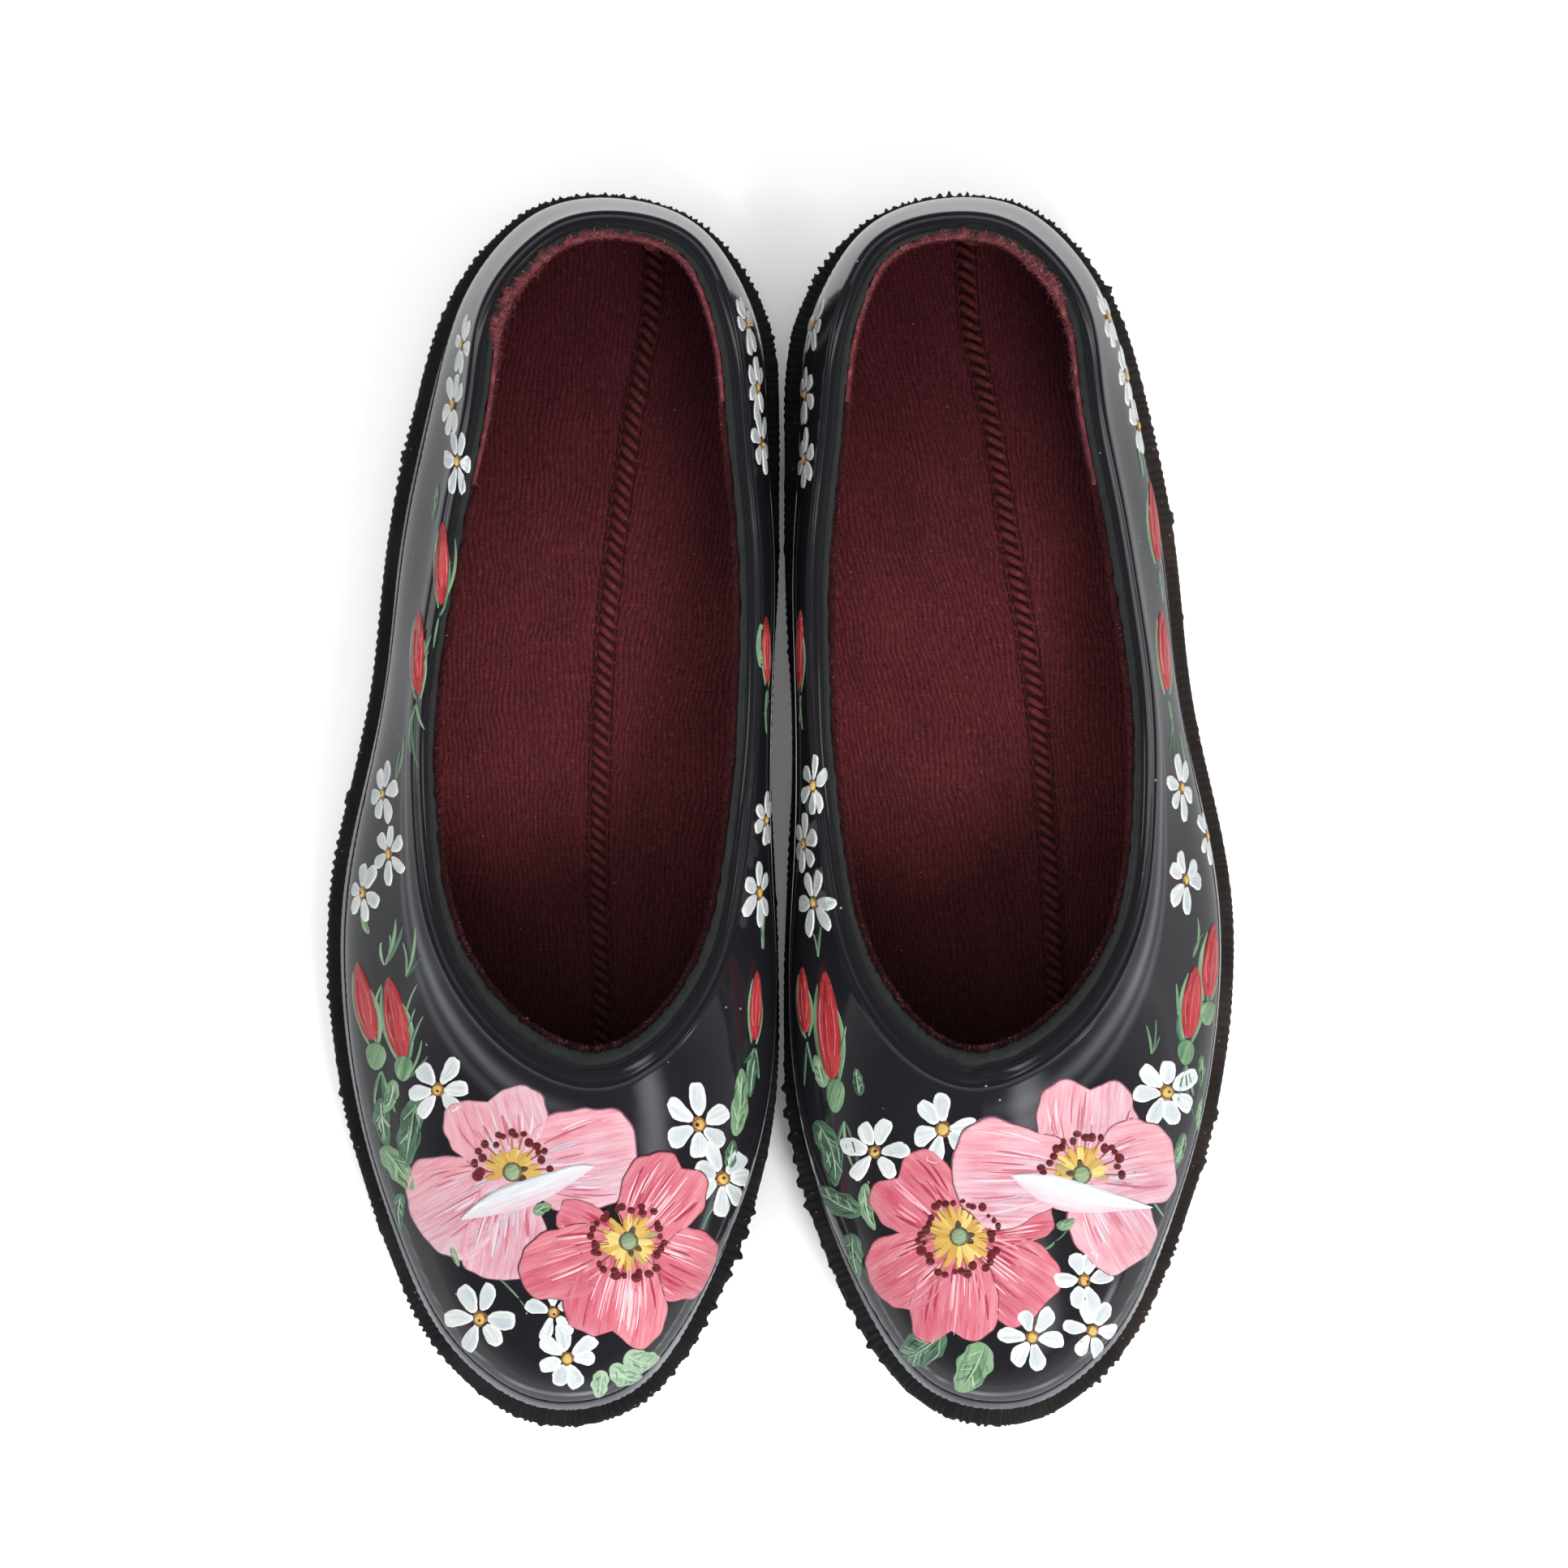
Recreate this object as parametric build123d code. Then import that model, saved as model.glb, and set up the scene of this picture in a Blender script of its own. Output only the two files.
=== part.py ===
from build123d import *
import os
import numpy as np

# A pair of moulded slip-on galoshes. Millimetres, +Z up, treads on z = 0, origin at the
# centre of the pair on the ground, toes toward -Y, the wearer's right shoe at -X.
# Each shoe is worked out in its own frame (x, t, z): x toward the other shoe (medial),
# t forward from the heel, z up.

# ---- driving dimensions ----------------------------------------------------
LENGTH = 266.5            # outsole, heel to toe
TOE_OUT_ANGLE = 2.83      # degrees each shoe turns outward
HEEL_X = 36.6             # heel centre of each shoe from the pair's middle
WALL = 2.4                # upper wall
LINING = 1.2              # lining thickness
GAP = 0.05                # bond line left open between pieces
LINING_GAP = 2 * GAP      # between the upper and the lining, and under the seam
WELT_HEEL, WELT_SIDE, WELT_TOE = 3.2, 4.0, 5.6   # outsole flange beyond the upper

# outsole outline: t, lateral and medial half-widths
OUTSOLE_WIDTHS = [
    (7.9, 22.7, 22.8), (13.2, 27.4, 27.8), (18.5, 31.0, 31.5), (23.8, 33.9, 34.2),
    (29.1, 36.0, 36.1), (34.4, 37.6, 37.2), (45.0, 39.9, 38.2), (55.6, 41.9, 38.8),
    (66.2, 43.7, 39.3), (76.8, 45.0, 39.7), (87.4, 45.8, 39.9), (98.0, 46.4, 39.9),
    (108.5, 47.2, 39.8), (119.1, 48.6, 40.1), (129.7, 50.6, 40.9), (140.3, 52.5, 42.0),
    (150.9, 53.8, 43.0), (161.5, 54.1, 43.8), (172.1, 53.6, 44.5), (182.7, 52.3, 45.0),
    (193.3, 50.3, 45.0), (203.9, 47.6, 44.0), (214.4, 44.2, 42.0), (225.0, 40.0, 38.9),
    (235.6, 35.3, 34.9), (246.2, 29.6, 29.9), (256.8, 20.5, 23.1), (262.1, 13.4, 17.0),
]

# opening at its inner edge: t, lateral and medial half-widths
OPENING_BACK, OPENING_FRONT = 12.4, 183.6
OPENING_WIDTHS = [
    (14.2, 8.0, 12.6), (18.0, 12.6, 17.0), (22.3, 17.2, 20.3), (26.6, 19.8, 22.2),
    (31.7, 21.5, 23.6), (40.0, 22.6, 25.3), (48.6, 23.5, 26.7), (57.0, 24.8, 27.9),
    (65.7, 26.1, 29.1), (74.0, 27.3, 30.3), (82.7, 28.5, 31.2), (91.3, 29.6, 31.8),
    (99.9, 30.6, 32.0), (108.5, 31.2, 32.1), (117.0, 31.4, 32.1), (125.6, 31.2, 31.8),
    (134.0, 30.6, 31.4), (142.8, 29.4, 30.7), (151.0, 27.6, 29.4), (159.8, 24.7, 27.5),
    (168.0, 20.0, 24.2), (176.4, 11.8, 18.0), (181.3, 4.2, 12.4),
]

# heights along the shoe: t, z
FEATHER_HEIGHT = [     # feather line, where the upper meets the outsole
    (0, 22.0), (40, 21.0), (75, 18.5), (110, 15.0), (145, 13.0), (180, 12.8),
    (215, 14.2), (245, 17.2), (267, 20.6),
]
OPENING_HEIGHT = [
    (12, 66.0), (30, 62.5), (60, 55.5), (95, 51.0), (130, 50.5), (160, 53.0), (184, 56.5),
]


# ---- curves ----------------------------------------------------------------
def smooth(table, at):
    """Natural cubic spline through the rows of a two-column table."""
    xs, ys = np.array(table, float).T
    count = len(xs)
    step = np.diff(xs)
    matrix = np.zeros((count, count))
    rhs = np.zeros(count)
    matrix[0, 0] = matrix[-1, -1] = 1
    for i in range(1, count - 1):
        matrix[i, i - 1:i + 2] = step[i - 1], 2 * (step[i - 1] + step[i]), step[i]
        rhs[i] = 6 * ((ys[i + 1] - ys[i]) / step[i] - (ys[i] - ys[i - 1]) / step[i - 1])
    bend = np.linalg.solve(matrix, rhs)      # second derivatives
    at = np.clip(np.asarray(at, float), xs[0], xs[-1])
    i = np.clip(np.searchsorted(xs, at) - 1, 0, count - 2)
    before, after = (xs[i + 1] - at) / step[i], (at - xs[i]) / step[i]
    cubic = (before**3 - before) * bend[i] + (after**3 - after) * bend[i + 1]
    return before * ys[i] + after * ys[i + 1] + cubic * step[i] ** 2 / 6


def ring_fit(back, front, widths, harmonics):
    """Fourier fit of a closed outline, as a function of the angle round it.

    The angle is 0 at the heel and pi at the toe: t = middle - half cos(angle).
    """
    ts, lateral, medial = np.array(widths).T
    middle, half = (back + front) / 2, (front - back) / 2
    order = np.arange(1, harmonics + 1)

    def basis(angles):
        turns = np.outer(angles, order)
        return np.hstack([np.ones((len(angles), 1)), np.cos(turns), np.sin(turns)])

    angle = np.arccos(np.clip((middle - ts) / half, -1, 1))
    fit = basis(np.concatenate([angle, 2 * np.pi - angle]))
    xs = np.concatenate([-lateral, medial])
    stiffness = 2e-5 * order**4              # damps the high harmonics
    damping = np.diag(np.concatenate([[0], stiffness, stiffness]) + 1e-9)
    weights = np.linalg.solve(fit.T @ fit + damping, fit.T @ xs)

    def at(angles):
        return np.stack([basis(angles) @ weights, middle - half * np.cos(angles)], 1)

    return at


outsole_outline = ring_fit(0, LENGTH, OUTSOLE_WIDTHS, harmonics=14)
opening_outline = ring_fit(OPENING_BACK, OPENING_FRONT, OPENING_WIDTHS, harmonics=12)


def ring_angles(count):
    return np.arange(count) * 2 * np.pi / count


def inward(points, chords):
    """Unit normals of a closed plan curve, pointing inside; chords run along the curve."""
    along = chords / np.linalg.norm(chords, axis=1)[:, None]
    normals = np.stack([along[:, 1], -along[:, 0]], 1)
    if np.sum(normals * (points.mean(0) - points)) < 0:
        normals = -normals
    return normals


def neighbour_chords(points):
    return np.roll(points, -1, 0) - np.roll(points, 1, 0)


def bell(toeward, power):
    return np.clip(toeward, 0, 1) ** power


# ---- placing and surfacing -------------------------------------------------
def make_place(side):
    """Map from a shoe's own frame to the pair's; side is -1 for right, +1 for left."""
    turn = np.radians(TOE_OUT_ANGLE)

    def place(points):
        x, t, z = points[..., 0], points[..., 1], points[..., 2]
        pair_x = -HEEL_X + x * np.cos(turn) - t * np.sin(turn)
        pair_y = LENGTH / 2 - x * np.sin(turn) - t * np.cos(turn)
        return np.stack([-side * pair_x, pair_y, z], -1)

    return place


def vectors(points, place):
    return [Vector(*point) for point in place(np.asarray(points, float))]


def ring_wire(ring, place):
    points = vectors(ring, place)
    parameters = list(np.linspace(0, 1, len(points) + 1))
    return Wire([Edge.make_spline(points, periodic=True, parameters=parameters)])


def band(rings, place, ruled=False):
    return Shell.make_loft([ring_wire(ring, place) for ring in rings], ruled=ruled).faces()


def closed(faces):
    """Solid from faces, turned the right way out."""
    body = Solid(Shell(faces))
    return body if body.volume > 0 else Solid(Shell([-face for face in faces]))


def plan_prism(plan, z, place, height=60):
    """Upright prism on a closed (x, t) plan curve."""
    ring = np.column_stack([plan, np.full(len(plan), z)])
    return extrude(Face(ring_wire(ring, place)), amount=height, dir=(0, 0, 1))


SLAB_HALF_WIDTH = 75.0
SLAB_BACK, SLAB_FRONT = -4, 271      # slabs run past both ends of the shoe
SLAB_T = np.linspace(SLAB_BACK, SLAB_FRONT, 24)


def side_slab(low, high, place, smooth_low=False):
    """Solid right across the shoe between two (t, z) curves."""
    low, high = [vectors(np.column_stack([np.full(len(curve), -SLAB_HALF_WIDTH), curve]), place)
                 for curve in (low, high)]
    if smooth_low:
        bottom = [Edge.make_spline(low)]
    else:
        bottom = [Edge.make_line(start, end) for start, end in zip(low, low[1:])]
    top = Edge.make_spline(high)
    ends = [Edge.make_line(bottom[0] @ 0, top @ 0), Edge.make_line(bottom[-1] @ 1, top @ 1)]
    start, end = vectors([(-SLAB_HALF_WIDTH, 0, 0), (SLAB_HALF_WIDTH, 0, 0)], place)
    return extrude(Face(Wire(bottom + ends + [top])), amount=2 * SLAB_HALF_WIDTH,
                   dir=(end - start).normalized())


# ---- the upper's wall as rings ---------------------------------------------
STATIONS = 72              # points round each ring
ROLL_HEIGHT = 1.6          # collar roll above its edges
# collar roll section: fraction of the way inward, fraction of the roll height
ROLL_PROFILE = [(0, 0), (.18, .72), (.45, 1), (.72, .8), (1, .1)]
# ring levels, from 0 at the feather line to 1 at the collar
LEVELS = np.concatenate([np.linspace(0, .78, 9), [.84, .89, .94, .98, 1]])
THICKENING_START = .72     # level where the wall starts to widen into the collar

# ring angle on the feather line, matching ring angle on the opening
STATION_MATCH = [
    (0, 0), (.45, .50), (.973, 1.113), (1.313, 1.594), (1.546, 1.89), (1.778, 2.217),
    (2.111, 2.522), (2.471, 2.836), (np.pi, np.pi),
]

# quantities that vary round the shoe:
# value at the sides, change at the toe, change at the heel, sharpness of the toe change
COLLAR_WIDTH = (5.2, 2.8, -0.2, 4)
FOOT_LEAN = (7, 5, 3, 4)             # degrees outward from vertical, at the feather line
FOOT_REACH = (15, 9, 3, 2)           # length of that tangent handle
COLLAR_SLOPE = (72, -48, 6, 2.2)     # degrees below horizontal, at the collar
COLLAR_REACH = (14, 22, 4, 2)        # length of that tangent handle
HEEL_SHARPNESS = 3
WELT_SHARPNESS = 8


def welt_width(angle):
    toeward = -np.cos(angle)
    return (WELT_SIDE + (WELT_TOE - WELT_SIDE) * bell(toeward, WELT_SHARPNESS)
            + (WELT_HEEL - WELT_SIDE) * bell(-toeward, WELT_SHARPNESS))


def feather_line():
    """Plan points of the feather line, fitted inside a finely sampled outsole outline."""
    refine = 8
    angle = ring_angles(STATIONS * refine)
    outline = outsole_outline(angle)
    normals = inward(outline, neighbour_chords(outline))
    return (outline + normals * welt_width(angle)[:, None])[::refine]


def opening_angles(angle):
    """Ring angles on the opening for ring angles on the feather line."""
    lateral = angle <= np.pi
    matched = smooth(STATION_MATCH, np.where(lateral, angle, 2 * np.pi - angle))
    return np.where(lateral, matched, 2 * np.pi - matched)


def skin_normals(skin):
    """Unit normals of a ring grid (levels, stations), pointing inside the shoe."""
    around = np.roll(skin, -1, 1) - np.roll(skin, 1, 1)
    normals = np.cross(around, np.gradient(skin, axis=0))
    normals /= np.linalg.norm(normals, axis=2)[:, :, None]
    base = skin[0, :, :2]
    if np.sum(normals[0][:, :2] * (base.mean(0) - base)) < 0:
        normals = -normals
    return normals


def wall_rings():
    """Ring grids of outer skin, collar roll and inner skin, with skin and opening normals."""
    angle = ring_angles(STATIONS)
    feather = feather_line()
    feather_in = inward(feather, neighbour_chords(feather))
    top_angle = opening_angles(angle)
    nudge = 2e-3
    opening = opening_outline(top_angle)
    opening_in = inward(
        opening, opening_outline(top_angle + nudge) - opening_outline(top_angle - nudge))
    toeward, top_toeward = -np.cos(angle), -np.cos(top_angle)

    def vary(quantity, toe_position):
        side, toe_change, heel_change, sharpness = quantity
        return (side + toe_change * bell(toe_position, sharpness)
                + heel_change * bell(-top_toeward, HEEL_SHARPNESS))

    # each station's outer profile is a cubic Bezier curve from feather line to collar
    collar = vary(COLLAR_WIDTH, top_toeward)[:, None]
    lean = np.radians(vary(FOOT_LEAN, toeward))
    foot_reach = vary(FOOT_REACH, toeward)
    slope = np.radians(vary(COLLAR_SLOPE, top_toeward))
    collar_reach = vary(COLLAR_REACH, top_toeward)
    foot = np.column_stack([feather, smooth(FEATHER_HEIGHT, feather[:, 1])])
    foot_handle = foot + np.column_stack(
        [-feather_in * (np.sin(lean) * foot_reach)[:, None], np.cos(lean) * foot_reach])
    top = np.column_stack([opening - opening_in * collar, smooth(OPENING_HEIGHT, opening[:, 1])])
    top_handle = top + np.column_stack(
        [-opening_in * (np.cos(slope) * collar_reach)[:, None], -np.sin(slope) * collar_reach])
    outer = np.array([
        (1 - v) ** 3 * foot + 3 * v * (1 - v) ** 2 * foot_handle
        + 3 * v * v * (1 - v) * top_handle + v**3 * top for v in LEVELS])

    # the inner skin blends from the wall thickness to the collar width
    normals = skin_normals(outer)
    flat_in = np.column_stack([opening_in, np.zeros(STATIONS)])
    blend = np.clip((LEVELS - THICKENING_START) / (1 - THICKENING_START), 0, 1)
    blend = (blend * blend * (3 - 2 * blend))[:, None, None]
    inner = outer + (1 - blend) * WALL * normals + blend * (collar * flat_in)[None]
    inner[0, :, 2] = outer[0, :, 2]
    roll = np.array([
        outer[-1] + across * (inner[-1] - outer[-1]) + np.array([0, 0, ROLL_HEIGHT * up])
        for across, up in ROLL_PROFILE])
    inner[-1] = roll[-1]
    return outer, roll, inner, normals, flat_in


OUTER, ROLL, INNER, SKIN_IN, OPENING_IN = wall_rings()


def make_upper(place):
    faces = band(OUTER, place) + band(ROLL, place) + band(INNER[::-1], place)
    faces += band([INNER[0], OUTER[0]], place, ruled=True)
    return closed(faces)


# ---- outsole ---------------------------------------------------------------
# profile of the underside: t, z
UNDERSIDE = [
    (0, 1.6), (7, 0), (61, 0), (66, 8.4), (84, 7.6), (104, 3.4), (116, 0), (196, 0),
    (222, 1.3), (246, 4.4), (LENGTH, 8.8),
]
UNDERSIDE_BACK_Z, UNDERSIDE_FRONT_Z = 2.5, 10.0     # at the ends of the slab
OUTLINE_STATIONS = 96

LUG_DEPTH = 3.6
CUTTER_BOTTOM = -3.0
CUTTER_HALF_LENGTH = 70.0
HEEL_GROOVES = (14.0, 26.0, 38.0, 50.0)             # t of each
HEEL_GROOVE_WIDTH = 3.4
FOREFOOT_GROOVES = np.arange(124, 250, 10.5)        # t of each
FOREFOOT_GROOVE_WIDTH = 3.6
FOREFOOT_SKEW = 5 / 50                              # t gained per unit of x
LONG_GROOVE_X = 17.0                                # two grooves along the forefoot
LONG_GROOVE_WIDTH = 3.2
LONG_GROOVE_BACK, LONG_GROOVE_FRONT = 112, 232


def groove_cutter(corners, top, place):
    """Prism on four (x, t) corners, from below the sole up to top."""
    points = vectors([(x, t, CUTTER_BOTTOM) for x, t in corners], place)
    return extrude(Face(Wire.make_polygon(points, close=True)),
                   amount=top - CUTTER_BOTTOM, dir=(0, 0, 1))


def cross_groove(t, skew, width, top, place):
    end_x = CUTTER_HALF_LENGTH
    lateral_t, medial_t = t - skew * end_x, t + skew * end_x
    corners = [(-end_x, lateral_t - width / 2), (end_x, medial_t - width / 2),
               (end_x, medial_t + width / 2), (-end_x, lateral_t + width / 2)]
    return groove_cutter(corners, top, place)


def long_groove(x, place):
    low_x, high_x = x - LONG_GROOVE_WIDTH / 2, x + LONG_GROOVE_WIDTH / 2
    corners = [(low_x, LONG_GROOVE_BACK), (high_x, LONG_GROOVE_BACK),
               (high_x, LONG_GROOVE_FRONT), (low_x, LONG_GROOVE_FRONT)]
    return groove_cutter(corners, LUG_DEPTH, place)


def make_outsole(place):
    top = np.column_stack([SLAB_T, smooth(FEATHER_HEIGHT, SLAB_T) - GAP])
    low = [(SLAB_BACK, UNDERSIDE_BACK_Z)] + UNDERSIDE + [(SLAB_FRONT, UNDERSIDE_FRONT_Z)]
    outline = outsole_outline(ring_angles(OUTLINE_STATIONS))
    body = plan_prism(outline, -5.0, place) & side_slab(low, top, place)
    cutters = [cross_groove(t, 0, HEEL_GROOVE_WIDTH, LUG_DEPTH, place) for t in HEEL_GROOVES]
    for t in FOREFOOT_GROOVES:
        groove_top = float(np.interp(t, *zip(*UNDERSIDE))) + LUG_DEPTH
        cutters.append(cross_groove(t, FOREFOOT_SKEW, FOREFOOT_GROOVE_WIDTH, groove_top, place))
    cutters += [long_groove(x, place) for x in (-LONG_GROOVE_X, LONG_GROOVE_X)]
    for cutter in cutters:
        body = body - cutter
    return body.solids().sort_by(SortBy.VOLUME)[-1]


# ---- sock lining -----------------------------------------------------------
LINING_EDGE_DROP = 0.39    # lining's top edge below the inner end of the collar roll
LINING_FOOT_LIFT = 0.35    # base of the lining wall above the underside of the footbed


def floor_z(t):
    """Underside of the footbed."""
    return smooth(FEATHER_HEIGHT, t) + GAP


def footbed_z(t):
    """Top of the footbed."""
    return floor_z(t) + LINING


def lining_skin(offset):
    """Ring grid of the lining wall at a distance inside the upper."""
    skin = INNER + offset * SKIN_IN
    skin[-1] = INNER[-1] + OPENING_IN * offset
    skin[-1, :, 2] = INNER[-1, :, 2] - LINING_EDGE_DROP
    skin[0, :, 2] = OUTER[0, :, 2] + GAP + LINING_FOOT_LIFT
    # the level next to the top is left out so the loft runs straight to the lowered edge
    return np.delete(skin, -2, axis=0)


def make_lining(place):
    outer, inner = lining_skin(LINING_GAP), lining_skin(LINING_GAP + LINING)
    faces = band(outer, place) + band([outer[-1], inner[-1]], place, ruled=True)
    faces += band(inner[::-1], place) + band([inner[0], outer[0]], place, ruled=True)
    wall = closed(faces)
    # the footbed reaches to the middle of the wall's thickness
    prism = plan_prism(((outer[0] + inner[0]) / 2)[:, :2], 0, place)
    low = np.column_stack([SLAB_T, floor_z(SLAB_T)])
    high = np.column_stack([SLAB_T, footbed_z(SLAB_T)])
    body = wall + (prism & side_slab(low, high, place, smooth_low=True))
    return body.solids()[0] if len(body.solids()) == 1 else body


# ---- lining seam -----------------------------------------------------------
SEAM_WIDTH, SEAM_HEIGHT = 4.6, 0.9
SEAM_SHOULDER = 0.8        # shoulders, as a fraction of the half-width and of the height
SEAM_STEEP_LIFT = 0.15     # extra lift of the edges where the seam runs upright
SEAM_BEND_RADIUS = 8.0     # between the heel wall and the footbed
SEAM_FRONT = 228
HEEL_STATIONS = np.arange(-6, 6)     # stations either side of the heel

# line of the seam on the footbed: t, x
SEAM_RIGHT = [
    (13, 9.6), (19, 9.3), (36, 7.5), (53, 6), (87, 3.5), (130, 3.3), (150, 4.2),
    (163, 5.4), (184, 6.7), (215, 6.1), (240, 5),
]
SEAM_LEFT = [
    (13, -2.4), (33, -4.4), (53, -6.9), (73, -8.9), (93, -11.5), (130, -14.2),
    (150, -14.7), (170, -14.7), (184, -14.2), (215, -10.2), (240, -5.8),
]


def heel_wall_path(x):
    """Points down the lining's heel wall at x, with unit normals."""
    skin = (INNER + (LINING_GAP + LINING) * SKIN_IN)[:, HEEL_STATIONS]
    skin_in = SKIN_IN[:, HEEL_STATIONS]
    points, normals = [], []
    for level in range(len(skin) - 3, 2, -1):
        order = np.argsort(skin[level][:, 0])
        row, row_in = skin[level][order], skin_in[level][order]
        points.append([x] + [np.interp(x, row[:, 0], row[:, c]) for c in (1, 2)])
        normal = np.array([np.interp(x, row[:, 0], row_in[:, c]) for c in range(3)])
        normals.append(normal / np.linalg.norm(normal))
    points, normals = np.array(points), np.array(normals)
    above_bend = points[:, 2] > footbed_z(14) + SEAM_BEND_RADIUS + 2
    return points[above_bend], normals[above_bend]


def seam_path(table):
    """Points down the heel wall and along the footbed, with unit surface normals."""
    points, normals = (list(part) for part in heel_wall_path(table[0][1]))

    # bend from the heel wall to the footbed
    foot, level_in = points[-1], normals[-1] * [1, 1, 0]
    level_in = level_in / np.linalg.norm(level_in)
    centre = foot + level_in * (SEAM_BEND_RADIUS + .3)
    centre[2] = footbed_z(foot[1] + SEAM_BEND_RADIUS) + .25 + SEAM_BEND_RADIUS
    for angle in np.radians((20, 45, 70, 90)):
        normal = level_in * np.cos(angle) + np.array([0, 0, np.sin(angle)])
        points.append(centre - normal * SEAM_BEND_RADIUS)
        normals.append(normal)

    # along the footbed, easing from the bend's x to the table's
    bend_x, bend_t = centre[:2]
    offset = bend_x - smooth(table, bend_t)
    for t in np.linspace(bend_t + 5, SEAM_FRONT, 26):
        x = smooth(table, t) + offset * np.exp(-(t - bend_t) / 14)
        slope = (footbed_z(t + 1) - footbed_z(t - 1)) / 2
        normal = np.array([0, -slope, 1.0])
        points.append(np.array([x, t, footbed_z(t)]))
        normals.append(normal / np.linalg.norm(normal))
    return np.array(points), np.array(normals)


def make_seam(table, place):
    points, normals = seam_path(table)
    tangents = np.gradient(points, axis=0)
    tangents /= np.linalg.norm(tangents, axis=1)[:, None]
    half, shoulder_z = SEAM_WIDTH / 2, SEAM_HEIGHT * SEAM_SHOULDER
    wires = []
    for point, normal, tangent in zip(points, normals, tangents):
        sideways = np.cross(tangent, normal)
        sideways /= np.linalg.norm(sideways)
        upward = np.cross(sideways, tangent)
        lift = LINING_GAP + SEAM_STEEP_LIFT * abs(tangent[2])
        section = [(-half, lift), (-half * SEAM_SHOULDER, shoulder_z), (0, SEAM_HEIGHT),
                   (half * SEAM_SHOULDER, shoulder_z), (half, lift)]
        corners = [point + sideways * across + upward * up for across, up in section]
        wires.append(Wire.make_polygon(vectors(corners, place), close=True))
    return Solid.make_loft(wires, ruled=True)


def main():
    os.makedirs("parts", exist_ok=True)
    for side, name, seam_table in ((-1, "right", SEAM_RIGHT), (1, "left", SEAM_LEFT)):
        place = make_place(side)
        export_step(make_outsole(place), f"parts/{name}_outsole.step")
        export_step(make_upper(place), f"parts/{name}_upper.step")
        export_step(make_lining(place), f"parts/{name}_sock_lining.step")
        export_step(make_seam(seam_table, place), f"parts/{name}_lining_seam.step")


main()
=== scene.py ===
# A pair of glossy black slip-on shoes with painted flowers, knitted lining and cleated soles.
# They stand side by side on z = 0, heels towards +Y and toes towards -Y; the right shoe is at -X.
#
# Each shoe is drawn in its own millimetres: x across (medial side positive, lateral negative),
# "along" from the heel (0) to the toe (LENGTH), z up. place() turns that into metres.
# Closed rings run from the heel (phase 0) by the lateral side to the toe (phase pi) and back.
import math

import bmesh
import bpy
import numpy as np
from mathutils import Matrix, Vector
from mathutils.bvhtree import BVHTree


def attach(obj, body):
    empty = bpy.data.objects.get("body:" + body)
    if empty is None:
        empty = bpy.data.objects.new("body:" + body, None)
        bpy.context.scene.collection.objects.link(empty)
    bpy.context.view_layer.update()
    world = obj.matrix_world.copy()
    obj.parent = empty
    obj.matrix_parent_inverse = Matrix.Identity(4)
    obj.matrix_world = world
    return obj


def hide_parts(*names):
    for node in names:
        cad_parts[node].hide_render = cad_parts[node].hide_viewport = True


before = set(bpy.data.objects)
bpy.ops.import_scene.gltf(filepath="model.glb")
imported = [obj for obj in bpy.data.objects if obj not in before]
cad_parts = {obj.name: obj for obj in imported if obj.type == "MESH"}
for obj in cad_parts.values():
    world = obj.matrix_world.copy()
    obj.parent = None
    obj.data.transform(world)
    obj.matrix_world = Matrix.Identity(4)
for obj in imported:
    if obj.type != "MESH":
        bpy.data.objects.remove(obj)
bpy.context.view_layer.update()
MM = 0.001
SIDES = (("right", -1), ("left", 1))

# ---------------------------------------------------------------- driving sizes, mm
LENGTH = 266.5
TOE_OUT = math.radians(2.83)
HEEL_X = 36.6                       # heel centre from the middle of the pair
WALL, LINING, GAP = 2.4, 1.2, 0.05
LIP_LIFT = 0.16                     # inner edge of the collar above the outer one
WELT_HEEL, WELT_SIDE, WELT_TOE = 3.2, 4.0, 5.6
LUG_DEPTH = 3.6
RING = 400                          # stations round the upper and the lining

# Sole outline: distance along, then half widths to the lateral and medial side.
OUT_ALONG = [7.9, 13.2, 18.5, 23.8, 29.1, 34.4, 45.0, 55.6, 66.2, 76.8, 87.4, 98.0, 108.5, 119.1,
             129.7, 140.3, 150.9, 161.5, 172.1, 182.7, 193.3, 203.9, 214.4, 225.0, 235.6, 246.2,
             256.8, 262.1]
OUT_LATERAL = [22.7, 27.4, 31.0, 33.9, 36.0, 37.6, 39.9, 41.9, 43.7, 45.0, 45.8, 46.4, 47.2, 48.6,
               50.6, 52.5, 53.8, 54.1, 53.6, 52.3, 50.3, 47.6, 44.2, 40.0, 35.3, 29.6, 20.5, 13.4]
OUT_MEDIAL = [22.8, 27.8, 31.5, 34.2, 36.1, 37.2, 38.2, 38.8, 39.3, 39.7, 39.9, 39.9, 39.8, 40.1,
              40.9, 42.0, 43.0, 43.8, 44.5, 45.0, 45.0, 44.0, 42.0, 38.9, 34.9, 29.9, 23.1, 17.0]
# Foot opening, same columns.
TOP_ALONG = [14.2, 18.0, 22.3, 26.6, 31.7, 40.0, 48.6, 57.0, 65.7, 74.0, 82.7, 91.3, 99.9, 108.5,
             117.0, 125.6, 134.0, 142.8, 151.0, 159.8, 168.0, 176.4, 181.3]
TOP_LATERAL = [8.0, 12.6, 17.2, 19.8, 21.5, 22.6, 23.5, 24.8, 26.1, 27.3, 28.5, 29.6, 30.6, 31.2,
               31.4, 31.2, 30.6, 29.4, 27.6, 24.7, 20.0, 11.8, 4.2]
TOP_MEDIAL = [12.6, 17.0, 20.3, 22.2, 23.6, 25.3, 26.7, 27.9, 29.1, 30.3, 31.2, 31.8, 32.0, 32.1,
              32.1, 31.8, 31.4, 30.7, 29.4, 27.5, 24.2, 18.0, 12.4]
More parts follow.
